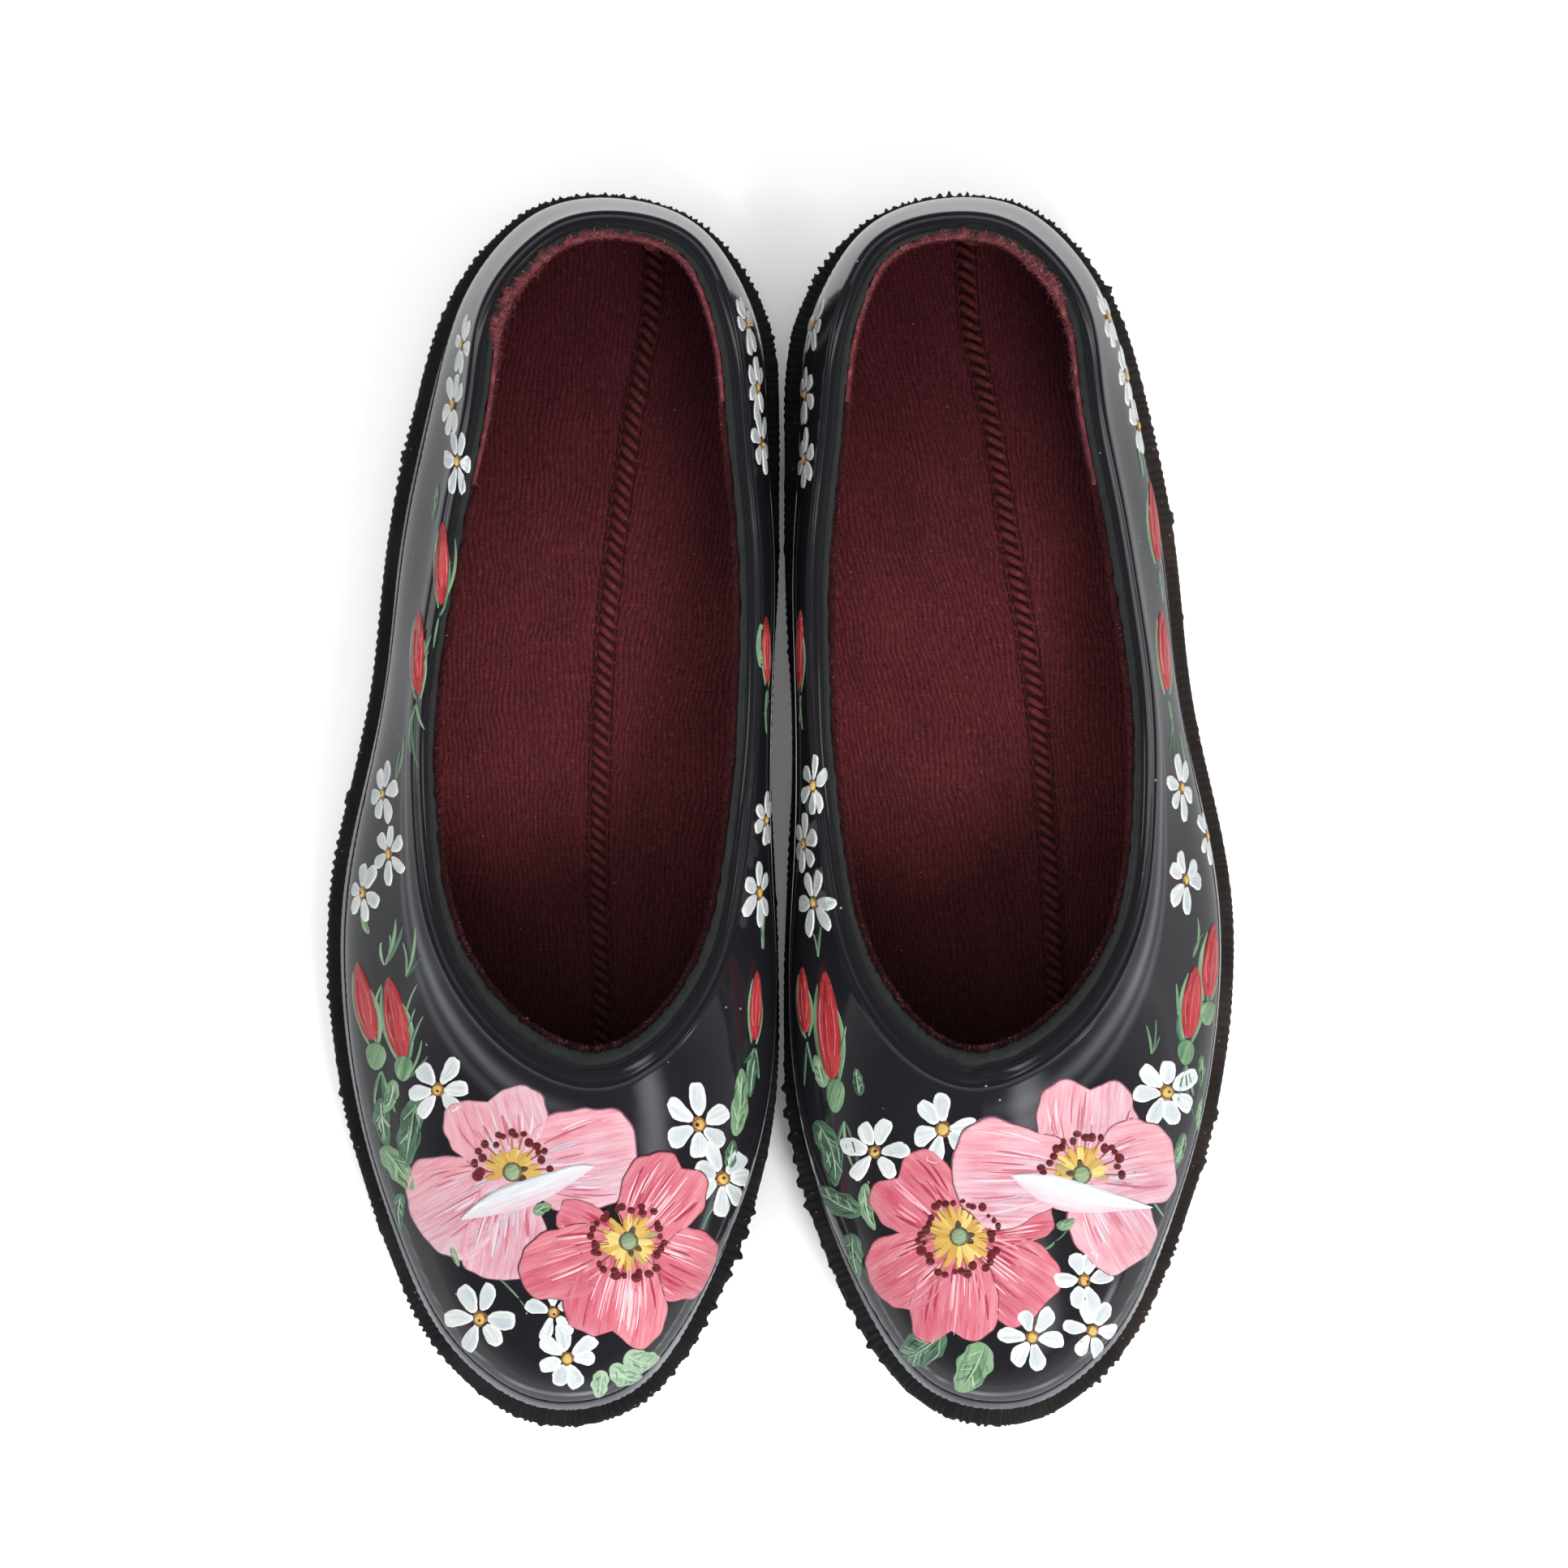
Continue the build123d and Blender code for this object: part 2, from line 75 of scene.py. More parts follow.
TOP_BACK, TOP_FRONT = 12.4, 183.6
# (along, height) of the line where upper meets sole, of the opening, and of the tread.
FEATHER_Z = [(0, 22.0), (40, 21.0), (75, 18.5), (110, 15.0), (145, 13.0), (180, 12.8),
             (215, 14.2), (245, 17.2), (267, 20.6)]
TOPLINE_Z = [(12, 66.0), (30, 62.5), (60, 55.5), (95, 51.0), (130, 50.5), (160, 53.0), (184, 56.5)]
TREAD_Z = [(0, 1.6), (7, 0), (61, 0), (66, 8.4), (84, 7.6), (104, 3.4), (116, 0), (196, 0),
           (222, 1.3), (246, 4.4), (266.5, 8.8)]
# (along, x) of the seam in the lining.
SEAM = {"right": [(13, 9.6), (19, 9.3), (36, 7.5), (53, 6.0), (87, 3.5), (130, 3.3), (150, 4.2),
                  (163, 5.4), (184, 6.7), (215, 6.1), (240, 5.0)],
        "left": [(13, -2.4), (33, -4.4), (53, -6.9), (73, -8.9), (93, -11.5), (130, -14.2),
                 (150, -14.7), (170, -14.7), (184, -14.2), (215, -10.2), (240, -5.8)]}
# Phase on the sole outline against phase on the opening, heel to toe.
PHASE_MATCH = [(0, 0), (.45, .50), (.973, 1.113), (1.313, 1.594), (1.546, 1.89), (1.778, 2.217),
               (2.111, 2.522), (2.471, 2.836), (np.pi, np.pi)]
# Collar roll: fraction across from outside to inside, height above the outer edge.
ROLL_Z = [(0, 0), (.035, .42), (.075, .62), (.12, .56), (.17, .60), (.25, .98), (.34, 1.38),
          (.44, 1.62), (.53, 1.55), (.60, 1.22), (.645, .80), (.675, .70), (.71, .92),
          (.77, 1.12), (.84, 1.10), (.91, .92), (.96, .62), (1, .16)]

# Eye point of the camera, metres; the flowers are projected from it.
CAMERA = np.array([-0.0199, 0.0060, 1.300])
PLAN_Z = 15.0       # plan places are measured on this level, mm


# ---------------------------------------------------------------- curves
def spline(table, at):
    """Natural cubic spline through (place, value) rows, held at the ends."""
    places, values = np.array(table, float).T
    count = len(places)
    gap = np.diff(places)
    matrix, right = np.zeros((count, count)), np.zeros(count)
    matrix[0, 0] = matrix[-1, -1] = 1
    for i in range(1, count - 1):
        matrix[i, i - 1:i + 2] = gap[i - 1], 2 * (gap[i - 1] + gap[i]), gap[i]
        right[i] = 6 * ((values[i + 1] - values[i]) / gap[i]
                        - (values[i] - values[i - 1]) / gap[i - 1])
    bend = np.linalg.solve(matrix, right)
    at = np.clip(np.asarray(at, float), places[0], places[-1])
    i = np.clip(np.searchsorted(places, at) - 1, 0, count - 2)
    before, after = (places[i + 1] - at) / gap[i], (at - places[i]) / gap[i]
    return (before * values[i] + after * values[i + 1]
            + ((before**3 - before) * bend[i] + (after**3 - after) * bend[i + 1])
            * gap[i] ** 2 / 6)


def ring_fit(start, end, along, lateral, medial, harmonics):
    """Closed outline as a smoothed Fourier series; returns a function of phase."""
    middle, half = (start + end) / 2, (end - start) / 2
    phase = np.arccos(np.clip((middle - np.array(along)) / half, -1, 1))
    across = np.concatenate([-np.array(lateral), np.array(medial)])
    order = np.arange(1, harmonics + 1)

    def basis(at):
        turns = np.outer(at, order)
        return np.hstack([np.ones((len(at), 1)), np.cos(turns), np.sin(turns)])
    matrix = basis(np.concatenate([phase, 2 * np.pi - phase]))
    damping = np.diag(np.concatenate([[0], 2e-5 * order**4, 2e-5 * order**4]) + 1e-9)
    weights = np.linalg.solve(matrix.T @ matrix + damping, matrix.T @ across)
    return lambda at: np.stack([basis(at) @ weights, middle - half * np.cos(at)], 1)


OUTLINE = ring_fit(0, LENGTH, OUT_ALONG, OUT_LATERAL, OUT_MEDIAL, harmonics=14)
TOPLINE = ring_fit(TOP_BACK, TOP_FRONT, TOP_ALONG, TOP_LATERAL, TOP_MEDIAL, harmonics=12)


def angles(count):
    return np.arange(count) * 2 * np.pi / count


def circle(count):
    turn = angles(count)
    return np.column_stack([np.cos(turn), np.sin(turn)])


def inward(points, tangent=None):
    """Unit normals pointing into a closed plan outline."""
    if tangent is None:
        tangent = np.roll(points, -1, 0) - np.roll(points, 1, 0)
    tangent = tangent / np.linalg.norm(tangent, axis=1)[:, None]
    normal = np.stack([tangent[:, 1], -tangent[:, 0]], 1)
    return -normal if np.sum(normal * (points.mean(0) - points)) < 0 else normal


def bell(value, power):
    return np.clip(value, 0, 1) ** power


def welt(phase):
    """Width of the sole outside the upper."""
    toeward = -np.cos(phase)
    return (WELT_SIDE + (WELT_TOE - WELT_SIDE) * bell(toeward, 8)
            + (WELT_HEEL - WELT_SIDE) * bell(-toeward, 8))


def opening_phase(phase):
    low = phase <= np.pi
    value = spline(PHASE_MATCH, np.where(low, phase, 2 * np.pi - phase))
    return np.where(low, value, 2 * np.pi - value)


def feather_z(along):
    return spline(FEATHER_Z, along)


def tread_z(along):
    return np.interp(along, *np.array(TREAD_Z).T)


def floor_z(along):
    return feather_z(along) + GAP


def upper_rings(rise):
    """Bezier wall from the sole (rise 0) to the collar (rise 1) at every ring station."""
    phase = angles(RING)
    dense = angles(RING * 8)
    outline = OUTLINE(dense)
    feather = (outline + inward(outline) * welt(dense)[:, None])[::8]
    top_phase = opening_phase(phase)
    nudge = 2e-3
    opening = TOPLINE(top_phase)
    opening_in = inward(opening, TOPLINE(top_phase + nudge) - TOPLINE(top_phase - nudge))
    foot_in = inward(feather)
    foot_toe, top_toe = -np.cos(phase), -np.cos(top_phase)
    toe, heel = bell(top_toe, 4), bell(-top_toe, 3)
    collar = 5.2 + 2.8 * toe - 0.2 * heel
    foot = np.column_stack([feather, feather_z(feather[:, 1])])
    top = np.column_stack([opening - opening_in * collar[:, None],
                           spline(TOPLINE_Z, opening[:, 1])])
    lean = np.radians(7 + 5 * bell(foot_toe, 4) + 3 * heel)
    reach = 15 + 9 * bell(foot_toe, 2) + 3 * heel
    low = foot + np.column_stack([-foot_in * (np.sin(lean) * reach)[:, None],
                                  np.cos(lean) * reach])
    steep = np.radians(72 - 48 * bell(top_toe, 2.2) + 6 * heel)
    reach = 14 + 22 * bell(top_toe, 2) + 4 * heel
    high = top + np.column_stack([-opening_in * (np.cos(steep) * reach)[:, None],
                                  -np.sin(steep) * reach])
    rings = [(1 - v) ** 3 * foot + 3 * v * (1 - v) ** 2 * low + 3 * v * v * (1 - v) * high
             + v**3 * top for v in rise]
    return phase, foot_in, np.array(rings), collar, opening_in


def grid_normals(rings):
    around = np.roll(rings, -1, 1) - np.roll(rings, 1, 1)
    normals = np.cross(around, np.gradient(rings, axis=0))
    return normals / np.maximum(np.linalg.norm(normals, axis=2)[:, :, None], 1e-9)


def place(local, side):
    """Shoe millimetres to metres in the frame; side -1 right shoe, +1 left."""
    x, along, z = local[..., 0], local[..., 1], local[..., 2]
    right_x = -HEEL_X + x * math.cos(TOE_OUT) - along * math.sin(TOE_OUT)
    y = LENGTH / 2 - x * math.sin(TOE_OUT) - along * math.cos(TOE_OUT)
    return np.stack([right_x if side < 0 else -right_x, y, z], -1) * MM


def waves(seed, count, low, high):
    """Smooth 3-D noise: a sum of sines with random directions, wave numbers and phases."""
    rng = np.random.default_rng(seed)
    wave = rng.uniform(-1, 1, (count, 3))
    wave /= np.linalg.norm(wave, axis=1)[:, None]
    wave *= rng.uniform(low, high, count)[:, None]
    phase = rng.uniform(0, 2 * np.pi, count)
    return lambda points: np.sin(points @ wave.T + phase).sum(-1) / math.sqrt(count / 2)


def ring_noise(count, seed, low, high):
    """Periodic noise of about unit size, wave numbers from low to high."""
    rng = np.random.default_rng(seed)
    turn = angles(count)
    orders = rng.integers(low, high, 24)
    return sum(np.sin(k * turn + rng.uniform(0, 6.28)) for k in orders) / math.sqrt(12)


# ---------------------------------------------------------------- mesh helpers
ATTRIBUTE_KINDS = {1: ("FLOAT", "value"), 3: ("FLOAT_VECTOR", "vector"), 4: ("FLOAT_COLOR", "color")}


def new_mesh(name, points, faces, material, uv=None, attributes=None):
    mesh = bpy.data.meshes.new(name)
    points = np.asarray(points, np.float32).reshape(-1, 3)
    mesh.from_pydata(points.tolist(), [], faces)
    mesh.update()
    mesh.polygons.foreach_set("use_smooth", [True] * len(mesh.polygons))
    if uv is not None:
        layer = mesh.uv_layers.new(name="UVMap")
        corners = np.zeros(len(mesh.loops), np.int64)
        mesh.loops.foreach_get("vertex_index", corners)
        layer.data.foreach_set("uv", np.asarray(uv, np.float32)[corners].ravel())
    for key, values in (attributes or {}).items():
        values = np.asarray(values, np.float32)
        kind, field = ATTRIBUTE_KINDS[1 if values.ndim == 1 else values.shape[1]]
        mesh.attributes.new(key, kind, "POINT").data.foreach_set(field, values.ravel())
    made = bpy.data.objects.new(name, mesh)
    bpy.context.scene.collection.objects.link(made)
    mesh.materials.append(material)
    return made


def fix_normals(made):
    work = bmesh.new()
    work.from_mesh(made.data)
    bmesh.ops.recalc_face_normals(work, faces=work.faces)
    work.to_mesh(made.data)
    work.free()


def surface_tree(made):
    mesh = made.data
    points = np.zeros(len(mesh.vertices) * 3, np.float32)
    mesh.vertices.foreach_get("co", points)
    return BVHTree.FromPolygons([tuple(v) for v in points.reshape(-1, 3)],
                                [tuple(f.vertices) for f in mesh.polygons])


def ring_faces(levels, count, closed=False, base=0):
    """Quads between stacked closed rings."""
    i = np.arange(levels if closed else levels - 1)[:, None]
    j = np.arange(count)[None]
    upper, following = (i + 1) % levels * count, (j + 1) % count
    quads = [i * count + j, i * count + following, upper + following, upper + j]
    return (np.stack(quads, -1).reshape(-1, 4) + base).tolist()


def grid_faces(rows, cols):
    first = np.arange(rows - 1)[:, None] * cols + np.arange(cols - 1)[None]
    quads = [first, first + 1, first + cols + 1, first + cols]
    return np.stack(quads, -1).reshape(-1, 4).tolist()


def zip_faces(start, count):
    """Close a flattened ring by joining its lateral half to its medial half."""
    half = count // 2
    faces = []
    for j in range(half):
        quad = [start + j, start + j + 1, start + count - j - 1, start + (count - j) % count]
        if j == 0:
            quad = quad[:3]
        elif j == half - 1:
            quad = [quad[0], quad[1], quad[3]]
        faces.append(quad)
    return faces


def shifted(faces, offset):
    return [[index + offset for index in face] for face in faces]


# ---------------------------------------------------------------- shader helpers
def rgb(*levels):
    """sRGB 0-255 to linear colour."""
    shares = [level / 255 for level in levels]
    return np.array([v / 12.92 if v <= 0.04045 else ((v + 0.055) / 1.055) ** 2.4 for v in shares])


class Shader:
    """Short calls for building the node tree of a material or world."""

    def __init__(self, block, output="ShaderNodeOutputMaterial"):
        block.use_nodes = True
        self.block = block
        self.tree = block.node_tree
        self.tree.nodes.clear()
        self.out = self.node(output)

    def node(self, kind, inputs=None, **settings):
        made = self.tree.nodes.new("ShaderNode" + kind.removeprefix("ShaderNode"))
        for key, value in settings.items():
            setattr(made, key, value)
        for key, value in (inputs or {}).items():
            self.put(made.inputs[key], value)
        return made

    def put(self, socket, value):
        if isinstance(value, bpy.types.Node):
            value = value.outputs[0]
        if isinstance(value, bpy.types.NodeSocket):
            self.tree.links.new(value, socket)
        elif socket.type == "RGBA" and len(value) == 3:
            socket.default_value = (*value, 1)
        else:
            socket.default_value = value

    def surface(self, node):
        self.put(self.out.inputs[0], node)
        return self.block

    def principled(self, **inputs):
        named = {key.replace("_", " "): value for key, value in inputs.items()}
        return self.node("BsdfPrincipled", named)

    def object_space(self):
        return self.node("TexCoord").outputs["Object"]

    def attribute(self, name, output="Fac"):
        return self.node("Attribute", attribute_name=name).outputs[output]

    def math(self, operation, first, second=0.0, third=None, clamp=False):
        inputs = {0: first, 1: second}
        if third is not None:
            inputs[2] = third
        return self.node("Math", inputs, operation=operation, use_clamp=clamp).outputs[0]

    def add(self, first, second, clamp=False):
        return self.math("ADD", first, second, clamp=clamp)

    def mul(self, first, second):
        return self.math("MULTIPLY", first, second)

    def ramp(self, factor, stops, interpolation="LINEAR"):
        """Stops are (position, grey or colour)."""
        made = self.node("ValToRGB", {0: factor})
        made.color_ramp.interpolation = interpolation
        elements = made.color_ramp.elements
        while len(elements) < len(stops):
            elements.new(1.0)
        for element, (position, colour) in zip(elements, stops):
            element.position = position
            element.color = (*np.broadcast_to(colour, 3), 1)
        return made.outputs[0]

    def mix(self, factor, first, second, blend="MIX"):
        inputs = {0: factor, 6: first, 7: second}
        return self.node("Mix", inputs, data_type="RGBA", blend_type=blend).outputs[2]

    def darken(self, first, second):
        return self.mix(1.0, first, second, "MULTIPLY")

    def mapped(self, vector, scale):
        return self.node("Mapping", {"Vector": vector, "Scale": scale}).outputs[0]

    def noise(self, vector, scale=1.0, detail=2.0, rough=0.5, stretch=None):
        if stretch:
            vector = self.mapped(vector, stretch)
        inputs = {"Vector": vector, "Scale": scale, "Detail": detail, "Roughness": rough}
        return self.node("TexNoise", inputs).outputs[0]

    def specks(self, vector, scale, radius, channel, above):
        """Dots in the cells of a Voronoi pattern whose random channel is above a limit."""
        cells = self.node("TexVoronoi", {"Vector": vector, "Scale": scale}, feature="F1")
        dot = self.math("LESS_THAN", cells.outputs["Distance"], radius)
        pick = self.node("SeparateColor", {0: cells.outputs["Color"]})
        return self.mul(dot, self.math("GREATER_THAN", pick.outputs[channel], above))

    def bump(self, height, strength, distance, normal=None):
        inputs = {"Strength": strength, "Distance": distance, "Height": height}
        if normal is not None:
            inputs["Normal"] = normal
        return self.node("Bump", inputs).outputs[0]


def new_material(name):
    return Shader(bpy.data.materials.new(name))


# ---------------------------------------------------------------- materials
def mat_upper():
    """Attributes: part is 0 on the skin and 1 on the rim by the lining; rim is a painted reflection:
    pale lines at the foot of the wall and under the collar.
    """
    mat = new_material("upper_gloss_pvc")
    obj = mat.object_space()
    part = mat.attribute("part")
    rim = mat.attribute("rim")
    cloud = mat.noise(obj, scale=14, detail=3, rough=0.55)
    fine = mat.noise(obj, scale=900, detail=2, rough=0.6)
    smear = mat.noise(obj, scale=3, detail=3, rough=0.6, stretch=(60, 8, 60))
    shade = mat.ramp(cloud, [(0.3, (0.0100, 0.0100, 0.0125)), (0.7, (0.0155, 0.0155, 0.0190))])
    colour = mat.mix(shade, (0.0125, 0.0125, 0.0155), (0.0145, 0.0145, 0.0180))
    grain = mat.noise(obj, scale=260, detail=3, rough=0.7)
    colour = mat.mix(part, colour, mat.mix(grain, rgb(27, 30, 30), rgb(50, 52, 52)))
    streaks = mat.noise(obj, detail=3, rough=0.6, stretch=(30, 30, 260))
    # painted reflection: rim lightens the black skin towards pale grey-white, in streaks
    pale = mat.mul(rim, mat.ramp(streaks, [(0.25, 0.45), (0.7, 1.0)]))
    colour = mat.mix(pale, colour, rgb(206, 209, 216))
    dust = mat.specks(obj, scale=330, radius=0.085, channel=0, above=0.93)
    colour = mat.mix(mat.mul(dust, 0.75), colour, rgb(165, 165, 168))
    rough = mat.add(mat.mul(smear, 0.06), mat.mul(cloud, 0.05))
    rough = mat.add(rough, 0.055)
    rough = mat.add(rough, mat.mul(part, 0.34))
    rough = mat.add(rough, mat.mul(dust, 0.5), clamp=True)
    swell = mat.bump(mat.noise(obj, scale=55), strength=0.25, distance=0.0006)
    scratch = mat.noise(obj, stretch=(35, 900, 300))
    grain = mat.mul(fine, mat.add(mat.mul(part, 4.0), 0.25))
    normal = mat.bump(mat.add(grain, mat.mul(scratch, 0.12)), strength=0.18, distance=0.00012,
                      normal=swell)
    return mat.surface(mat.principled(Base_Color=colour, Roughness=rough, Normal=normal,
                                      Specular_IOR_Level=0.5, IOR=1.5))


def mat_sole():
    """Grey-black rubber, browner towards the heel of the pair (+X side of object space)."""
    mat = new_material("outsole_rubber")
    obj = mat.object_space()
    cloud = mat.noise(obj, scale=60, detail=4, rough=0.6)
    fine = mat.noise(obj, scale=2600, detail=2, rough=0.7)
    grey = mat.ramp(cloud, [(0.25, rgb(24, 24, 26)), (0.55, rgb(35, 34, 36)),
                            (0.8, rgb(48, 46, 47))])
    brown = mat.ramp(cloud, [(0.25, rgb(36, 30, 27)), (0.55, rgb(50, 42, 37)),
                             (0.8, rgb(66, 54, 46))])
    across = mat.node("SeparateXYZ", {0: obj}).outputs[0]
    ragged = mat.mul(mat.noise(obj, scale=26, detail=3, rough=0.6), 0.04)
    # a browner tone towards the +X side, with a ragged border
    brown_share = mat.ramp(mat.math("MULTIPLY_ADD", across, 1.0, ragged), [(0.062, 0.0), (0.098, 0.85)])
    colour = mat.mix(brown_share, grey, brown)
    dust = mat.specks(obj, scale=700, radius=0.16, channel=1, above=0.9)
    colour = mat.mix(mat.mul(dust, 0.55), colour, rgb(140, 122, 104))
    rough = mat.add(mat.mul(cloud, 0.2), 0.45)
    coarse = mat.mul(mat.noise(obj, scale=420, detail=3, rough=0.6), 2.0)
    normal = mat.bump(mat.add(mat.mul(fine, 1.0), coarse), strength=0.5, distance=0.00012)
    return mat.surface(mat.principled(Base_Color=colour, Roughness=rough, Normal=normal))


def mat_knit():
    """UVs are millimetres: across the wales, along the shoe."""
    wale_width, stitch_pitch = 1.12, 0.92
    mat = new_material("lining_knit")
    uv = mat.node("UVMap").outputs[0]
    split = mat.node("SeparateXYZ", {0: uv})
    along = split.outputs[1]
    wobble = mat.noise(uv, scale=0.05)
    jog = mat.noise(uv, rough=0.6, stretch=(0.9, 0.35, 1))
    across = mat.add(mat.add(split.outputs[0], mat.mul(wobble, 6.5)), mat.mul(jog, 0.75))
    share = mat.math("FRACT", mat.math("DIVIDE", across, wale_width))
    # 0 in the middle of a wale, 0.5 between wales
    off_middle = mat.math("ABSOLUTE", mat.math("SUBTRACT", share, 0.5))
    wale = mat.math("SUBTRACT", 1.0, mat.math("POWER", mat.mul(off_middle, 2.0), 2.2))
    stitch = mat.math("SINE", mat.mul(mat.add(along, mat.mul(off_middle, 1.3)),
                                      2 * math.pi / stitch_pitch))
    knit = mat.add(mat.mul(wale, 0.75), mat.mul(stitch, 0.17))
    heather = mat.noise(uv, detail=5, rough=0.80, stretch=(1.5, 0.55, 1))
    broad = mat.noise(uv, detail=3, rough=0.6, stretch=(0.12, 0.05, 1))
    micro = mat.noise(uv, scale=5.5, detail=3, rough=0.75)
    colour = mat.ramp(heather, [(0.32, rgb(44, 17, 22)), (0.46, rgb(86, 33, 39)),
                                (0.58, rgb(106, 44, 50)), (0.72, rgb(158, 88, 92))])
    colour = mat.mix(0.36, colour, mat.ramp(broad, [(0.3, rgb(76, 28, 34)),
                                                    (0.7, rgb(110, 45, 51))]))
    # painted shade: the knit's valleys are darkened and its ridges slightly lightened, more strongly
    # in some patches
    relief = mat.add(knit, mat.mul(mat.math("SUBTRACT", micro, 0.5), 1.5))
    dark = mat.ramp(relief, [(0.0, 0.40), (0.74, 1.10)])
    patches = mat.noise(uv, detail=3, rough=0.6, stretch=(0.10, 0.06, 1))
    soft = mat.ramp(patches, [(0.34, 0.45), (0.62, 1.0)])
    colour = mat.mix(soft, colour, mat.darken(colour, dark))
    fleck = mat.noise(uv, detail=3, rough=0.85, stretch=(1.15, 0.75, 1))
    colour = mat.mix(mat.ramp(fleck, [(0.36, 0.62), (0.45, 0.0)]), colour, rgb(34, 18, 24))
    pale = mat.noise(uv, rough=0.8, stretch=(1.9, 1.3, 1))
    colour = mat.mix(mat.ramp(pale, [(0.64, 0.0), (0.74, 0.45)]), colour, rgb(158, 92, 98))
    # painted shade: darker and more purple at the heel seat, darkening again into the toe
    shade = mat.ramp(mat.math("DIVIDE", along, 250.0), [
        (0.0, (0.46, 0.42, 0.48)), (0.16, (0.52, 0.48, 0.55)), (0.36, (1.0, 1.0, 1.0)),
        (0.50, (1.0, 1.0, 0.98)), (0.60, (0.58, 0.56, 0.54)), (0.74, (0.20, 0.19, 0.18)),
        (1.0, (0.12, 0.11, 0.11))])
    colour = mat.darken(colour, shade)
    edge = mat.attribute("edge")
    colour = mat.mix(edge, colour, mat.darken(colour, (0.34, 0.30, 0.32)))
    lint = mat.specks(mat.mapped(uv, (0.16, 0.34, 1)), scale=1.0, radius=0.035, channel=2,
                      above=0.62)
    colour = mat.mix(mat.mul(lint, 0.6), colour, rgb(176, 140, 140))
    normal = mat.bump(knit, strength=0.85, distance=0.00038)
    normal = mat.bump(micro, strength=0.5, distance=0.00022, normal=normal)
    return mat.surface(mat.principled(
        Base_Color=colour, Roughness=0.92, Normal=normal, Specular_IOR_Level=0.25,
        Sheen_Weight=0.22, Sheen_Roughness=0.5, Sheen_Tint=rgb(190, 110, 112)))


def mat_thread():
    """Twisted yarn; tone darkens it with painted shade on the ridge between and beside the loops,
    and along (mm) darkens it with the same painted shade as the lining.
    """
    mat = new_material("seam_thread")
    uv = mat.node("UVMap").outputs[0]
    tone = mat.attribute("tone")
    mottle = mat.noise(uv, scale=2.4, detail=3, rough=0.7)
    ply = mat.node("TexWave", {"Vector": uv, "Scale": 1.6, "Distortion": 1.5},
                   wave_type="BANDS", bands_direction="DIAGONAL").outputs["Fac"]
    colour = mat.ramp(mottle, [(0.3, rgb(82, 30, 35)), (0.55, rgb(112, 47, 51)),
                               (0.78, rgb(142, 76, 79))])
    colour = mat.mix(mat.mul(ply, 0.26), colour, rgb(84, 28, 34))
    colour = mat.mix(tone, colour, rgb(26, 10, 12))
    # painted shade, the same as on the lining: darker at the heel seat and into the toe
    along = mat.math("DIVIDE", mat.attribute("along"), 250.0)
    colour = mat.darken(colour, mat.ramp(along, [
        (0.0, 0.42), (0.16, 0.55), (0.36, 1.0), (0.50, 1.0), (0.62, 0.55), (0.76, 0.20),
        (1.0, 0.12)]))
    normal = mat.bump(mat.add(ply, mottle), strength=0.6, distance=0.00015)
    return mat.surface(mat.principled(
        Base_Color=colour, Roughness=0.85, Normal=normal, Sheen_Weight=0.2,
        Sheen_Tint=rgb(190, 110, 112), Specular_IOR_Level=0.3))


def mat_fuzz():
    mat = new_material("raw_edge_fibre")
    tone = mat.attribute("tone")
    obj = mat.object_space()
    colour = mat.ramp(tone, [(0.0, rgb(78, 28, 34)), (0.40, rgb(120, 54, 60)),
                             (0.75, rgb(162, 92, 97)), (1.0, rgb(206, 158, 158))])
    mottle = mat.noise(obj, scale=1100, detail=3, rough=0.7)
    colour = mat.mix(mat.ramp(mottle, [(0.35, 0.75), (0.6, 0.0)]), colour, rgb(74, 28, 34))
    return mat.surface(mat.principled(Base_Color=colour, Roughness=0.9, Sheen_Weight=0.3,
                                      Sheen_Tint=rgb(220, 150, 150)))


def mat_paint():
    """Two colours a point, mixed by bristle streaks that follow the Stroke attribute
    (mm along, mm across, seed)."""
    mat = new_material("brushed_paint")
    first = mat.attribute("ColA", "Color")
    second = mat.attribute("ColB", "Color")
    flow = mat.attribute("Stroke", "Vector")
    streak = mat.noise(flow, detail=4, rough=0.62, stretch=(0.09, 1.5, 7.0))
    broad = mat.noise(flow, stretch=(0.13, 0.42, 3.0))
    hair = mat.noise(flow, rough=0.6, stretch=(0.22, 6.5, 5.0))
    blend = mat.add(mat.mul(streak, 0.65), mat.mul(broad, 0.35))
    colour = mat.mix(mat.ramp(blend, [(0.36, 0.0), (0.64, 1.0)]), first, second)
    colour = mat.mix(mat.ramp(hair, [(0.58, 0.0), (0.82, 0.35)]), colour, rgb(247, 240, 240))
    colour = mat.mix(mat.ramp(hair, [(0.18, 0.28), (0.36, 0.0)]), colour,
                     mat.darken(first, (0.45, 0.42, 0.5)))
    speck = mat.specks(mat.object_space(), scale=300, radius=0.09, channel=1, above=0.93)
    colour = mat.mix(mat.mul(speck, 0.55), colour, rgb(60, 40, 44))
    normal = mat.bump(mat.add(mat.mul(streak, 1.0), mat.mul(hair, 0.55)), strength=0.8,
                      distance=0.00028)
    rough = mat.add(0.26, mat.mul(streak, 0.18))
    return mat.surface(mat.principled(Base_Color=colour, Roughness=rough, Normal=normal,
                                      Specular_IOR_Level=0.45))


M_UPPER = mat_upper()
M_SOLE = mat_sole()
M_KNIT = mat_knit()
M_THREAD = mat_thread()
M_FUZZ = mat_fuzz()
M_PAINT = mat_paint()


